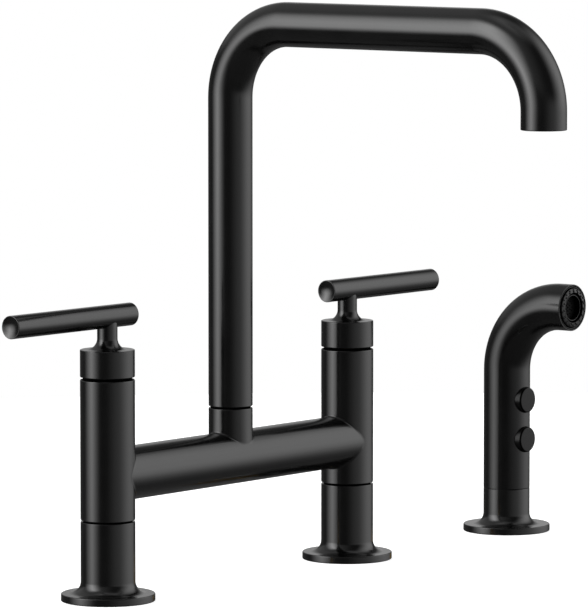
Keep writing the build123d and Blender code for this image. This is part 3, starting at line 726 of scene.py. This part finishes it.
@dataclass
class Post:
    """A post of the faucet: its flanged base and its valve body. Heights are above the deck."""

    spacing: float = 203.2
    radius: float = 14.5
    flange_radius: float = 25.0
    flange_height: float = 4.0
    cove: float = 6.3
    sleeve_bore: float = 12.2
    gasket_radius: float = 22.0
    gasket_height: float = 2.0
    base_top: float = 42.2
    shank_socket: float = 10.65
    shank_top: float = 54.0
    inlet: float = 5.0
    seat: float = 58.0
    chamber: float = 10.4
    collar_bore: float = 11.9
    collar_shelf: float = 96.0
    seam_depth: float = 1.4
    seam_width: float = 0.9
    turning_seam_depth: float = 1.5
    body_top: float = 117.5
    body_rim: float = 118.6
    port_radius: float = 7.55
    bridge_z: float = 66.3
    edge: float = 0.5
    eased: float = 0.35

    def axis(self, side: Side) -> Vector:
        """The foot of a post's axis on the deck."""
        return Vector((side.value * self.spacing / 2, 0, 0))

    def sleeve(self, name: str, foot: Vector, radius: float, bore: float, top: float) -> Piece:
        """A flanged sleeve on the deck, with a cove between its flange and its sleeve.

        Args:
            name: the sleeve's name.
            foot: the foot of its axis.
            radius: the sleeve's outer radius.
            bore: the radius of its bore.
            top: the height of its top.

        Returns:
            The sleeve.
        """
        corners = [
            (self.gasket_radius, 0),
            (self.flange_radius, 0, self.edge),
            (self.flange_radius, self.flange_height, self.edge),
            (radius, self.flange_height, self.cove),
            (radius, top, self.eased),
            (bore, top),
            (bore, self.gasket_height),
            (self.gasket_radius, self.gasket_height),
        ]
        return turned(name, foot, UP, corners)

    def body(self) -> Piece:
        """The left valve body, with the groove at its foot and the turning groove at its top; build
        gives the grooves painted shade.
        """
        neck = self.radius - self.seam_depth
        foot = self.axis(Side.LEFT)
        piece = turned(
            "left_post_body",
            foot,
            UP,
            [
                (self.shank_socket, self.base_top),
                (neck, self.base_top),
                (neck, self.base_top + self.seam_width),
                (self.radius, self.base_top + self.seam_width, self.eased),
                (self.radius, self.body_top, self.edge),
                (self.radius - self.turning_seam_depth, self.body_top),
                (self.radius - self.turning_seam_depth, self.body_rim),
                (self.collar_bore, self.body_rim),
                (self.collar_bore, self.collar_shelf),
                (self.chamber, self.collar_shelf),
                (self.chamber, self.seat),
                (self.inlet, self.seat),
                (self.inlet, self.shank_top),
                (self.shank_socket, self.shank_top),
            ],
            shade=False,
        )
        start = foot + UP * self.bridge_z
        drill(piece, start, TO_THE_RIGHT, self.port_radius, 2 * self.radius)
        smooth(piece)
        return piece

    def in_painted_seam_shade(self, point: Vector) -> bool:
        """Says whether a place of a valve body lies in one of its grooves, up to their eased edges,
        where shade is painted.
        """
        off_axis = math.hypot(abs(point.x) - self.spacing / 2, point.y)
        half_eased = self.eased / 2
        low = self.base_top - SAME_PLACE < point.z < self.base_top + self.seam_width + half_eased
        high = self.body_top - half_eased < point.z
        return (low or high) and self.collar_bore < off_axis < self.radius - self.eased

    def build(self) -> None:
        """Makes the left post's base and valve body, and copies them to the right."""
        foot = self.axis(Side.LEFT)
        base = self.sleeve("left_flanged_sleeve", foot, self.radius, self.sleeve_bore, self.base_top)
        body = self.body()
        right_base = copy_of(base, "right_flanged_sleeve", moved(TO_THE_RIGHT * self.spacing))
        right_body = copy_of(body, "right_post_body", HALF_TURN)
        for side, sleeve, upper in ((Side.LEFT, base, body), (Side.RIGHT, right_base, right_body)):
            fit(sleeve, "faucet_body", BLACK_COAT, side.node("post_base"))
            fit(upper, "faucet_body", BLACK_COAT, side.node("valve_body"))
            # the grooves get painted shade: a dull black that stands for the shade deep in them
            dress_places(upper, SEAM_PAINTED_SHADE, self.in_painted_seam_shade)


@dataclass
class Bridge:
    """The level tube between the posts, with the socket that the spout swivels in."""

    post: Post
    radius: float = 14.3
    waterway: float = 5.5
    socket_radius: float = 12.0
    socket_top: float = 93.7
    socket_bore: float = 9.05
    pocket_radius: float = 7.55
    pocket_floor: float = 57.1
    pocket_top: float = 72.7
    post_gap: float = 0.03  # left twice between the bridge and a post
    fillet: float = 0.9
    nipple_reach: float = 28.5
    screw_radius: float = 2.0
    screw_z: float = 89.125
    eased: float = 0.4
    seat_ring_inner: float = 9.2
    seat_ring_outer: float = 10.9
    seat_ring_top: float = 94.6
    seat_ring_edge: float = 0.1
    off_surface: float = 0.02  # how far a crease's points may lie off the two surfaces
    past: float = 1.0  # how far a cutter goes past what it cuts
    tube_steps: int = 128
    cope_steps: int = 192

    def on_crease(self, point: Vector, x: float, radius: float) -> bool:
        """Says whether a point lies on the surfaces of the level tube and of an upright form."""
        level = math.hypot(point.y, point.z - self.post.bridge_z) - self.radius
        upright = math.hypot(point.x - x, point.y) - radius
        return abs(level) < self.off_surface and abs(upright) < self.off_surface

    def round_joint(self, piece: Piece, x: float, radius: float) -> None:
        """Rounds the crease between the level tube and an upright form."""
        round_crease(
            piece,
            lambda one, other: self.on_crease(one, x, radius) and self.on_crease(other, x, radius),
            self.fillet,
        )

    def seat_ring(self) -> Piece:
        """The bearing ring under the spout, in painted shade so that it shows as a dark line."""
        return turned(
            "spout_seat_ring",
            Vector(),
            UP,
            [
                (self.seat_ring_inner, self.socket_top),
                (self.seat_ring_outer, self.socket_top, self.seat_ring_edge),
                (self.seat_ring_outer, self.seat_ring_top, self.seat_ring_edge),
                (self.seat_ring_inner, self.seat_ring_top),
            ],
        )

    def build(self) -> None:
        """Makes the bridge: a rod joined to an upright socket, coped to the posts and bored out."""
        post = self.post
        span = post.spacing
        level = UP * post.bridge_z
        left_end = level - TO_THE_RIGHT * span / 2
        piece = rod(
            "bridge_with_spout_socket", left_end, TO_THE_RIGHT, self.radius, span, self.tube_steps
        )
        socket = turned(
            "socket",
            Vector(),
            UP,
            [
                (0, post.bridge_z),
                (self.socket_radius, post.bridge_z),
                (self.socket_radius, self.socket_top, self.eased),
                (0, self.socket_top),
            ],
            shade=False,
        )
        join_solid(piece, socket)
        creases = [(0.0, self.socket_radius)]
        length = post.body_top - post.base_top
        post_radius = post.radius + self.post_gap
        for side in Side:
            foot = post.axis(side) + UP * post.base_top
            join_solid(piece, rod("post", foot, UP, post_radius, length, self.cope_steps))
            creases.append((foot.x, post_radius))
        for x, radius in creases:
            self.round_joint(piece, x, radius)
        cope_radius = post_radius + self.post_gap
        for side in Side:
            foot = post.axis(side) + UP * (post.base_top - self.past)
            drill(piece, foot, UP, cope_radius, length + 2 * self.past, self.cope_steps)
            nipple = post.axis(side) + level
            drill(piece, nipple, TO_THE_RIGHT * -side.value, post.port_radius, self.nipple_reach)
        drill(piece, left_end, TO_THE_RIGHT, self.waterway, span)
        for floor, radius in (
            (self.pocket_floor, self.pocket_radius),
            (self.pocket_top, self.socket_bore),
        ):
            drill(piece, UP * floor, UP, radius, self.socket_top - floor + self.past)
        screw = UP * self.screw_z
        drill(piece, screw, BACKWARDS, self.screw_radius, 2 * self.socket_radius, SMALL_ROUND)
        smooth(piece)
        fit(piece, "faucet_body", BLACK_COAT, "bridge_tube")
        # the bearing ring is given painted shade, a dull black that reads as a dark line
        fit(self.seat_ring(), "faucet_body", SEAM_PAINTED_SHADE, "spout_bearing_ring")


# ---------------------------------------------------------------- handles


@dataclass
class Handle:
    """A handle: a cap over the post, a coved neck and a round bar across it."""

    post: Post
    cap_bottom: float = 118.9
    cap_top: float = 133.4
    cavity: float = 11.5
    cavity_top: float = 123.9
    neck: float = 5.4
    cove: float = 5.8
    bar_z: float = 150.8
    bar_radius: float = 6.1
    bar_outer: float = 76.0
    bar_inner: float = 18.5
    bar_steps: int = 72
    dish_radius: float = 5.65
    dish_depth: float = 1.15
    stem_socket: float = 4.05
    stem_socket_top: float = 131.0
    screw_radius: float = 2.0
    film: float = 0.03  # between the neck and the bar
    edge: float = 0.45
    rim: float = 0.25

    def hub(self) -> Piece:
        """The left cap and its neck, coped to the bar, with the stem's socket and a screw hole."""
        foot = self.post.axis(Side.LEFT)
        piece = turned(
            "left_handle_cap",
            foot,
            UP,
            [
                (0, self.stem_socket_top),
                (self.stem_socket, self.stem_socket_top),
                (self.stem_socket, self.cavity_top),
                (self.cavity, self.cavity_top),
                (self.cavity, self.cap_bottom),
                (self.post.radius, self.cap_bottom, self.edge),
                (self.post.radius, self.cap_top, self.edge),
                (self.neck, self.cap_top, self.cove),
                (self.neck, self.bar_z),
                (0, self.bar_z),
            ],
            shade=False,
        )
        across = foot + UP * self.bar_z - TO_THE_RIGHT * self.post.radius
        reach = 2 * self.post.radius
        drill(piece, across, TO_THE_RIGHT, self.bar_radius + self.film, reach)
        middle = foot + UP * (self.cavity_top + self.stem_socket_top) / 2
        drill(piece, middle, BACKWARDS, self.screw_radius, reach, SMALL_ROUND)
        smooth(piece)
        return piece

    def bar(self) -> Piece:
        """The left round bar, with a shallow dish turned in each end."""
        ball = (self.dish_radius**2 + self.dish_depth**2) / (2 * self.dish_depth)
        shares = (0.2, 0.4, 0.6, 0.8)
        far = [(share * self.dish_radius, self.dish(share, ball)) for share in shares]
        corners = [(0, self.bar_outer - self.dish_depth)]
        corners += [(radius, self.bar_outer - depth) for radius, depth in far]
        corners += [
            (self.dish_radius, self.bar_outer),
            (self.bar_radius, self.bar_outer, self.rim),
            (self.bar_radius, -self.bar_inner, self.rim),
            (self.dish_radius, -self.bar_inner),
        ]
        corners += [(radius, depth - self.bar_inner) for radius, depth in reversed(far)]
        corners += [(0, self.dish_depth - self.bar_inner)]
        start = self.post.axis(Side.LEFT) + UP * self.bar_z
        return turned("left_lever", start, -TO_THE_RIGHT, corners, self.bar_steps)

    def dish(self, share: float, ball: float) -> float:
        """How deep a dish is at a share of its radius."""
        radius = share * self.dish_radius
        return self.dish_depth - (ball - math.sqrt(ball**2 - radius**2))

    def build(self) -> None:
        """Makes the left handle and copies it to the right."""
        hub = self.hub()
        bar = self.bar()
        right_hub = copy_of(hub, "right_handle_cap", moved(TO_THE_RIGHT * self.post.spacing))
        right_bar = copy_of(bar, "right_lever", HALF_TURN)
        for side, cap, lever in ((Side.LEFT, hub, bar), (Side.RIGHT, right_hub, right_bar)):
            fit(cap, side.node("handle"), BLACK_COAT, side.node("handle_hub"))
            fit(lever, side.node("handle"), BLACK_COAT, side.node("lever_bar"))


# ---------------------------------------------------------------- spout


@dataclass
class Spout:
    """The bent spout with its outlet."""

    radius: float = 12.0
    bore: float = 10.0
    foot: float = 94.7
    axis_height: float = 302.1
    reach: float = 209.6
    bend_radius: float = 40.4
    outlet_drop: float = 9.4
    rim: float = 0.45
    rim_faces: int = 3

    def tube(self) -> Piece:
        """The tube, bent twice on a bender, its wall drawn on down the inside so that it is closed."""
        first = FORWARDS * self.bend_radius + UP * (self.axis_height - self.bend_radius)
        second = first + FORWARDS * (self.reach - 2 * self.bend_radius)
        rise = self.axis_height - self.bend_radius - self.foot
        level = self.reach - 2 * self.bend_radius
        ring = Ring("bent_spout", UP * self.foot, UP, self.bore)
        ring.to(self.radius, rounding=self.rim, segments=self.rim_faces)
        ring.by(rise)
        ring.bend(first, TO_THE_RIGHT, 90)
        ring.by(level)
        ring.bend(second, TO_THE_RIGHT, 90)
        ring.by(self.outlet_drop, self.rim, self.rim_faces)
        ring.to(self.bore, rounding=self.rim, segments=self.rim_faces)
        ring.by(-self.outlet_drop)
        ring.bend(second, TO_THE_RIGHT, -90)
        ring.by(-level)
        ring.bend(first, TO_THE_RIGHT, -90)
        ring.by(-rise)
        return ring.finish()

    def build(self) -> None:
        """Makes the spout."""
        fit(self.tube(), "spout", BLACK_COAT, "spout_tube")


# ---------------------------------------------------------------- side spray


@dataclass
class SideSpray:
    """The side spray: its flanged holder, its bent grip, the spray face and two sprung buttons."""

    post: Post
    axis_x: float = 250.2
    radius: float = 13.35
    holder_bore: float = 12.05
    seam: float = 25.0
    parting: float = 0.15  # between the holder and the grip
    spigot_length: float = 15.0
    spigot_radius: float = 10.7
    bore: float = 9.0
    axis_height: float = 132.05
    bend_radius: float = 38.4
    head_length: float = 8.0
    head_depth: float = 6.0
    face_rim: float = 0.8  # how thick the grip's rim is round the spray face
    manifold_face: float = 4.0  # behind the rim
    trim_radius: float = 12.2
    trim_wall: float = 0.6
    trim_face: float = 0.2  # behind the rim
    trim_edge: float = 0.2
    groove_floor: float = 3.2  # behind the rim
    groove_inner: float = 11.2
    plate_radius: float = 11.1
    plate_bore: float = 8.6
    plate_shoulder: float = 0.6  # before the rim
    plate_crown: float = 1.2  # before the rim
    plate_edge: float = 0.35
    nozzle_height: float = 0.5
    nozzle_radius: float = 0.6
    nozzle_dome: float = 0.3
    nozzle_bore: float = 0.2
    nozzle_circles: tuple[tuple[float, int], ...] = ((10.3, 18), (9.3, 15))  # radius and count
    core_radius: float = 7.6
    core_bore: float = 6.9
    core_face: float = 0.3  # before the rim
    core_edge: float = 0.25
    core_flange: float = 8.5
    core_step: float = 2.6  # behind the rim
    core_plate: float = 3.2  # behind the rim
    hole_radius: float = 0.5
    hole_circles: tuple[tuple[float, int], ...] = ((2.0, 6), (4.0, 12))
    past: float = 1.0  # how far a cutter goes past what it cuts
    near: float = 0.1  # how far off a wall or a floor the middle of a face on it may lie
    button_steps: int = 72
    tiny_steps: int = 16
    turn_steps: int = 32
    wire_steps: int = 12
    button_heights: tuple[float, float] = (53.8, 76.7)
    button_radius: float = 7.3
    button_gap: float = 0.25
    button_edge: float = 0.9
    button_face: float = 15.4  # before the grip's axis
    button_depth: float = 5.5
    plunger_radius: float = 2.5
    plunger_reach: float = 3.2
    spring_wire: float = 0.4
    spring_coil: float = 3.7
    spring_turns: int = 2
    spring_back: float = 5.85  # before the grip's axis, as is its front
    spring_front: float = 9.55
    edge: float = 0.5
    rim: float = 0.25
    rim_faces: int = 3

    def at(self, before: float, height: float) -> Vector:
        """A point this far before the grip's axis and this high above the deck."""
        return TO_THE_RIGHT * self.axis_x + FORWARDS * before + UP * height

    def holder(self) -> Piece:
        """The flanged holder, a sleeve like the posts'."""
        top = self.seam - self.parting / 2
        return self.post.sleeve("side_spray_holder", self.at(0, 0), self.radius, self.holder_bore, top)

    def wand(self) -> Piece:
        """The bent grip: spigot, grip, bend and head outside, then the face's recess and the bore."""
        bottom = self.seam + self.parting / 2
        rise = self.axis_height - self.bend_radius - bottom
        bend_at = self.at(self.bend_radius, self.axis_height - self.bend_radius)
        recess = self.radius - self.face_rim
        ring = Ring("bent_grip", self.at(0, bottom - self.spigot_length), UP, self.bore)
        ring.to(self.spigot_radius, rounding=self.edge)
        ring.by(self.spigot_length)
        ring.to(self.radius, rounding=self.rim, segments=self.rim_faces)
        ring.by(rise)
        ring.bend(bend_at, TO_THE_RIGHT, 90)
        ring.by(self.head_length, self.rim, self.rim_faces)
        ring.to(recess, rounding=self.rim, segments=self.rim_faces)
        ring.by(-self.head_depth)
        ring.to(self.bore)
        ring.by(self.head_depth - self.head_length)
        ring.bend(bend_at, TO_THE_RIGHT, -90)
        ring.by(-rise - self.spigot_length)
        piece = ring.finish(shade=False)
        hole = self.button_radius + self.button_gap
        for height in self.button_heights:
            drill(piece, self.at(0, height), FORWARDS, hole, 2 * self.radius, self.button_steps)
        smooth(piece)
        return piece

    def face_at(self, depth: float = 0) -> Vector:
        """The middle of the spray face, or a point behind it on the head's axis."""
        return self.at(self.bend_radius + self.head_length - depth, self.axis_height)

    def trim_ring(self) -> Piece:
        """The trim ring inside the wand's rim: a thin wall round a deep groove, which build darkens
        with painted shade.
        """
        inner = self.trim_radius - self.trim_wall
        return turned(
            "spray_trim_ring",
            self.face_at(),
            FORWARDS,
            [
                (self.groove_inner, -self.manifold_face),
                (self.trim_radius, -self.manifold_face),
                (self.trim_radius, -self.trim_face, self.trim_edge),
                (inner, -self.trim_face, self.trim_edge),
                (inner, -self.groove_floor),
                (self.groove_inner, -self.groove_floor),
            ],
        )

    def plate_height(self, radius: float) -> float:
        """How far the nozzle plate's coned face stands before the rim at a radius."""
        share = (radius - self.plate_bore) / (self.plate_radius - self.plate_bore)
        return self.plate_crown + share * (self.plate_shoulder - self.plate_crown)

    def nozzle(self, radius: float) -> Piece:
        """A soft nozzle at the top of its circle, with a domed end and its hole."""
        root = self.plate_height(radius) - self.plate_edge
        tip = self.plate_height(radius) + self.nozzle_height
        return turned(
            "nozzle",
            self.face_at() + UP * radius,
            FORWARDS,
            [
                (0, root),
                (self.nozzle_radius, root),
                (self.nozzle_radius, tip, self.nozzle_dome),
                (self.nozzle_bore, tip),
                (self.nozzle_bore, tip - self.nozzle_height),
                (0, tip - self.nozzle_height),
            ],
            steps=self.tiny_steps,
            shade=False,
        )

    def ring_of(self, piece: Piece, count: int) -> Piece:
        """A piece and its copies, evenly round the head's axis, in one mesh."""
        middle = moved(self.face_at())
        pieces = [piece]
        for number in range(1, count):
            turn = Matrix.Rotation(math.tau * number / count, 4, "Y")
            pieces.append(copy_of(piece, f"{piece.name}_{number}", middle @ turn @ middle.inverted()))
        return gathered(pieces)

    def nozzle_plate(self) -> Piece:
        """The coned ring plate with two circles of soft nozzles."""
        piece = turned(
            "spray_nozzle_plate",
            self.face_at(),
            FORWARDS,
            [
                (self.plate_bore, -self.manifold_face),
                (self.plate_radius, -self.manifold_face),
                (self.plate_radius, self.plate_shoulder, self.plate_edge),
                (self.plate_bore, self.plate_crown, self.plate_edge),
            ],
            shade=False,
        )
        for radius, count in self.nozzle_circles:
            join_solid(piece, self.ring_of(self.nozzle(radius), count))
        smooth(piece)
        return piece

    def core(self) -> Piece:
        """The ring in the middle of the face, round a pierced plate that lies deep in it."""
        piece = turned(
            "spray_middle_ring",
            self.face_at(),
            FORWARDS,
            [
                (0, -self.manifold_face),
                (self.core_flange, -self.manifold_face),
                (self.core_flange, -self.core_step),
                (self.core_radius, -self.core_step),
                (self.core_radius, self.core_face, self.core_edge),
                (self.core_bore, self.core_face, self.core_edge),
                (self.core_bore, -self.core_plate),
                (0, -self.core_plate),
            ],
            shade=False,
        )
        back = self.face_at(self.manifold_face + self.past)
        length = self.manifold_face - self.core_plate + 2 * self.past
        cutters = []
        for radius, count in ((0.0, 1), *self.hole_circles):
            start = back + UP * radius
            hole = rod("hole", start, FORWARDS, self.hole_radius, length, self.tiny_steps)
            cutters.append(self.ring_of(hole, count))
        cut_away(piece, gathered(cutters))
        smooth(piece)
        return piece

    def in_painted_groove_shade(self, point: Vector) -> bool:
        """Says whether a place of the spray face lies in one of its grooves or on the recess's wall,
        where shade is painted.
        """
        off = point - self.face_at()
        radius = math.hypot(off.x, off.z)
        depth = off.y
        walls = (
            (self.core_bore, -self.core_face, self.core_plate),
            (self.core_radius, -self.core_face, self.core_step),
            (self.plate_bore, -self.plate_crown, self.manifold_face),
            (self.plate_radius, -self.plate_shoulder, self.manifold_face),
            (self.trim_radius - self.trim_wall, self.trim_face, self.groove_floor),
        )
        on_wall = any(
            abs(radius - wall) < self.near and top < depth < foot for wall, top, foot in walls
        )
        on_floor = self.core_radius < radius and self.core_step - self.near < depth
        return on_wall or on_floor

    def on_screen(self, point: Vector) -> bool:
        """Says whether a place of the core lies on the pierced plate."""
        off = point - self.face_at()
        radius = math.hypot(off.x, off.z)
        return radius < self.core_bore - self.near and self.core_plate - self.near < off.y

    def button(self) -> Piece:
        """The lower push button with a rounded rim, and its plunger behind it."""
        back = self.button_face - self.button_depth
        return turned(
            "lower_push_button",
            self.at(0, self.button_heights[0]),
            FORWARDS,
            [
                (0, self.plunger_reach),
                (self.plunger_radius, self.plunger_reach),
                (self.plunger_radius, back),
                (self.button_radius, back),
                (self.button_radius, self.button_face, self.button_edge),
                (0, self.button_face),
            ],
            steps=self.button_steps,
        )

    def on_painted_skirt_shade(self, point: Vector, height: float) -> bool:
        """Says whether a place of a button lies on the skirt that rounds off its face, which gets
        painted shade: the dull black of the gap round the button.
        """
        off = point - self.at(self.button_face - self.button_edge, height)
        return self.button_radius - self.button_edge / 2 < math.hypot(off.x, off.z) and off.y < 0

    def spring(self) -> Piece:
        """The lower button's return spring: a wire's round section, wound up round the plunger."""
        deselect_all()
        bpy.ops.mesh.primitive_circle_add(
            vertices=self.wire_steps,
            radius=self.spring_wire / 2 * MM,
            fill_type="NOTHING",
            location=TO_THE_RIGHT * self.spring_coil * MM,
            rotation=(math.pi / 2, 0, 0),
        )
        piece = named("lower_return_spring")
        steps = self.turn_steps * self.spring_turns
        apply_modifier(
            piece,
            "SCREW",
            axis="Z",
            angle=2 * math.pi * self.spring_turns,
            screw_offset=(self.spring_front - self.spring_back) * MM,
            steps=steps,
            render_steps=steps,
        )
        bpy.ops.object.mode_set(mode="EDIT")
        bpy.ops.mesh.select_all(action="SELECT")
        bpy.ops.mesh.fill_holes(sides=0)
        bpy.ops.mesh.select_all(action="SELECT")
        bpy.ops.mesh.normals_make_consistent(inside=False)
        bpy.ops.object.mode_set(mode="OBJECT")
        piece.location = self.at(self.spring_back, self.button_heights[0]) * MM
        piece.rotation_euler = UP.rotation_difference(FORWARDS).to_euler()
        apply_place(piece)
        smooth(piece)
        return piece

    def fit_button(self, button: Piece, spring: Piece, place: str, height: float) -> None:
        """Shows a button, and its spring that closes up between the grip and the button as it goes in.

        Args:
            button: the button.
            spring: its spring.
            place: which of the two it is, as its names begin.
            height: the height of its axis above the deck.
        """
        body = f"{place}_spray_button"
        fit(button, body, BUTTON_RUBBER, f"{place}_button")
        # the skirt round the face gets painted shade, standing for the dark gap round the button
        dress_places(button, SEAM_PAINTED_SHADE, lambda point: self.on_painted_skirt_shade(point, height))
        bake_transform(spring)
        show(spring, SPRING_WIRE, f"{place}_button_spring")

    def build(self) -> None:
        """Makes the side spray's visible pieces, the upper button and its spring as copies."""
        fit(self.holder(), "faucet_body", BLACK_COAT, "spray_holder_base")
        # the grip's coat mirrors less, as painted shade
        fit(self.wand(), "side_spray", WAND_COAT_PAINTED_SHADE, "wand_body")
        trim, plate, core = self.trim_ring(), self.nozzle_plate(), self.core()
        for piece, finish, node in (
            (trim, BLACK_ACETAL, "spray_face_ring"),
            (plate, BLACK_SILICONE, "spray_nozzle_plate"),
            (core, BLACK_ACETAL, "spray_aerator"),
        ):
            fit(piece, "side_spray", finish, node)
            # the grooves and the recess's walls get painted shade
            dress_places(piece, SEAM_PAINTED_SHADE, self.in_painted_groove_shade)
        dress_places(core, BLACK_SCREEN, self.on_screen)
        low, high = self.button_heights
        rise = moved(UP * (high - low))
        button = self.button()
        upper_button = copy_of(button, "upper_push_button", rise)
        spring = self.spring()
        upper_spring = copy_of(spring, "upper_return_spring", rise)
        self.fit_button(button, spring, "lower", low)
        self.fit_button(upper_button, upper_spring, "upper", high)


# ---------------------------------------------------------------- studio


@dataclass(frozen=True)
class Softbox:
    """A soft light in the studio's surroundings, by the angles at which it stands, in degrees."""

    azimuth: float  # from +Y towards +X
    elevation: float
    half_width: float
    half_height: float
    side_fade: float  # over which its sides fade out
    end_fade: float  # over which its top and bottom fade out
    radiance: float

    def glow(self, tree: Tree, turn: Socket, rise: Socket) -> Socket:
        """The light that comes from a direction.

        Args:
            tree: the world's node tree.
            turn: the direction's azimuth, in radians.
            rise: its elevation, in radians.

        Returns:
            The radiance.
        """
        aside = calculate(tree, "SUBTRACT", turn, math.radians(self.azimuth))
        near = calculate(tree, "WRAP", aside, math.pi, -math.pi)
        level = calculate(tree, "SUBTRACT", rise, math.radians(self.elevation))
        across = self.share(tree, near, self.half_width, self.side_fade)
        along = self.share(tree, level, self.half_height, self.end_fade)
        return calculate(tree, "MULTIPLY", calculate(tree, "MULTIPLY", across, along), self.radiance)

    def share(self, tree: Tree, angle: Socket, half: float, fade: float) -> Socket:
        """1 within a half-width of the middle, and 0 past it and its fade."""
        limits = {
            "Value": calculate(tree, "ABSOLUTE", angle),
            "From Min": math.radians(half + fade / 2),
            "From Max": math.radians(half - fade / 2),
        }
        return add_node(tree, "ShaderNodeMapRange", limits, interpolation_type="SMOOTHSTEP").outputs[0]


@dataclass
class Studio:
    """The camera, the pale floor, the white background and the soft lights. Its places are metres."""

    camera_at: tuple[float, float, float] = (-2.224303, -1.845585, 0.424519)
    camera_turn: float = -50.997
    camera_pitch: float = 5.433
    focal_pixels: float = 5366.506
    picture_height: int = 609
    sensor: float = 36.0
    floor_middle: tuple[float, float] = (0.075, -0.075)
    floor_radius: float = 0.9
    floor_steps: int = 128
    floor_paint: str = "#f0f0f0"
    floor_lift: float = 0.7  # what the floor's own light lacks to be white
    clip: tuple[float, float] = (0.1, 200.0)
    base_radiance: float = 0.09
    background: Softbox = Softbox(51, -5.4, 3.2, 3.2, 1, 1, 1.0)  # what the tubes' edges mirror
    lights: tuple[Softbox, ...] = (
        Softbox(-60, 19.5, 13, 27.5, 58, 22, 7.2),
        Softbox(128.5, 24, 28.5, 34, 56, 52, 2.0),
        Softbox(171, -2.5, 36, 11, 68, 11.5, 0.6),
        Softbox(-44, 47.5, 80, 36, 80, 6, 0.36),
        Softbox(53.5, 13, 10, 13, 25, 4, 0.5),
        Softbox(51, -60, 180, 36, 10, 20, 0.05),
        Softbox(51, 90, 180, 20, 10, 20, 0.5),
    )

    def camera(self) -> None:
        """The camera at the photograph's place."""
        data = bpy.data.cameras.new("camera")
        data.sensor_fit = "AUTO"
        data.sensor_width = self.sensor
        data.lens = self.focal_pixels * self.sensor / self.picture_height
        data.clip_start, data.clip_end = self.clip
        camera = bpy.data.objects.new("camera", data)
        bpy.context.scene.collection.objects.link(camera)
        camera.location = self.camera_at
        tilt, turn = math.radians(90 - self.camera_pitch), math.radians(self.camera_turn)
        camera.rotation_euler = (tilt, 0, turn)
        bpy.context.scene.camera = camera

    def mirrored_ray(self, tree: Tree, path: bpy.types.Node) -> Socket:
        """1 for the rays of reflections and of glass."""
        glossy, glass = path.outputs["Is Glossy Ray"], path.outputs["Is Transmission Ray"]
        return calculate(tree, "MAXIMUM", glossy, glass)

    def world(self) -> None:
        """The soft lights, and the white background for the rays that see it."""
        world = bpy.data.worlds.new("studio")
        bpy.context.scene.world = world
        world.use_nodes = True
        tree = world.node_tree
        tree.nodes.clear()
        direction = add_node(tree, "ShaderNodeTexCoord").outputs["Generated"]
        x, y, z = add_node(tree, "ShaderNodeSeparateXYZ", {0: direction}).outputs
        turn = calculate(tree, "ARCTAN2", x, y)
        rise = calculate(tree, "ARCSINE", z)
        total = self.base_radiance
        for light in self.lights:
            total = calculate(tree, "ADD", total, light.glow(tree, turn, rise))
        path = add_node(tree, "ShaderNodeLightPath")
        behind = calculate(
            tree, "MULTIPLY", self.mirrored_ray(tree, path), self.background.glow(tree, turn, rise)
        )
        seen = calculate(tree, "MAXIMUM", path.outputs["Is Camera Ray"], behind)
        lit = add_node(tree, "ShaderNodeBackground", {"Color": WHITE, "Strength": total})
        white = add_node(tree, "ShaderNodeBackground", {"Color": WHITE, "Strength": 1.0})
        mix = add_node(tree, "ShaderNodeMixShader", {0: seen, 1: lit.outputs[0], 2: white.outputs[0]})
        add_node(tree, "ShaderNodeOutputWorld", {"Surface": mix.outputs[0]})

    def floor(self) -> None:
        """A pale floor under the faucet.

        It keeps the shadows, and is lifted to the background's white where the camera sees it. The rays
        of reflections and of glass go on through it to the same background.
        """
        deselect_all()
        x, y = self.floor_middle
        bpy.ops.mesh.primitive_circle_add(
            vertices=self.floor_steps, radius=self.floor_radius, fill_type="NGON", location=(x, y, 0)
        )
        floor = bpy.context.object
        floor.name = "pale_floor"
        apply_place(floor)
        material = bpy.data.materials.new("pale_floor")
        material.use_nodes = True
        tree = material.node_tree
        tree.nodes.clear()
        paint = add_node(tree, "ShaderNodeBsdfDiffuse", {"Color": linear(self.floor_paint)})
        path = add_node(tree, "ShaderNodeLightPath")
        lift = calculate(tree, "MULTIPLY", path.outputs["Is Camera Ray"], self.floor_lift)
        glow = add_node(tree, "ShaderNodeEmission", {"Color": WHITE, "Strength": lift})
        seen = add_node(tree, "ShaderNodeAddShader", {0: paint.outputs[0], 1: glow.outputs[0]})
        clear = add_node(tree, "ShaderNodeBsdfTransparent")
        both = add_node(
            tree,
            "ShaderNodeMixShader",
            {0: self.mirrored_ray(tree, path), 1: seen.outputs[0], 2: clear.outputs[0]},
        )
        add_node(tree, "ShaderNodeOutputMaterial", {"Surface": both.outputs[0]})
        floor.data.materials.append(material)

    def build(self) -> None:
        """Sets the whole studio up."""
        self.camera()
        self.world()
        self.floor()
        bpy.context.scene.view_settings.view_transform = "Standard"


def main() -> None:
    """Builds the studio and every piece, and dresses what the frame carries."""
    logging.basicConfig(level=logging.INFO, format="%(name)s: %(message)s")
    Studio().build()
    dress_frame_nodes()
    post = Post()
    for assembly in (post, Bridge(post), Handle(post), Spout(), SideSpray(post)):
        assembly.build()


if __name__ == "__main__":
    main()
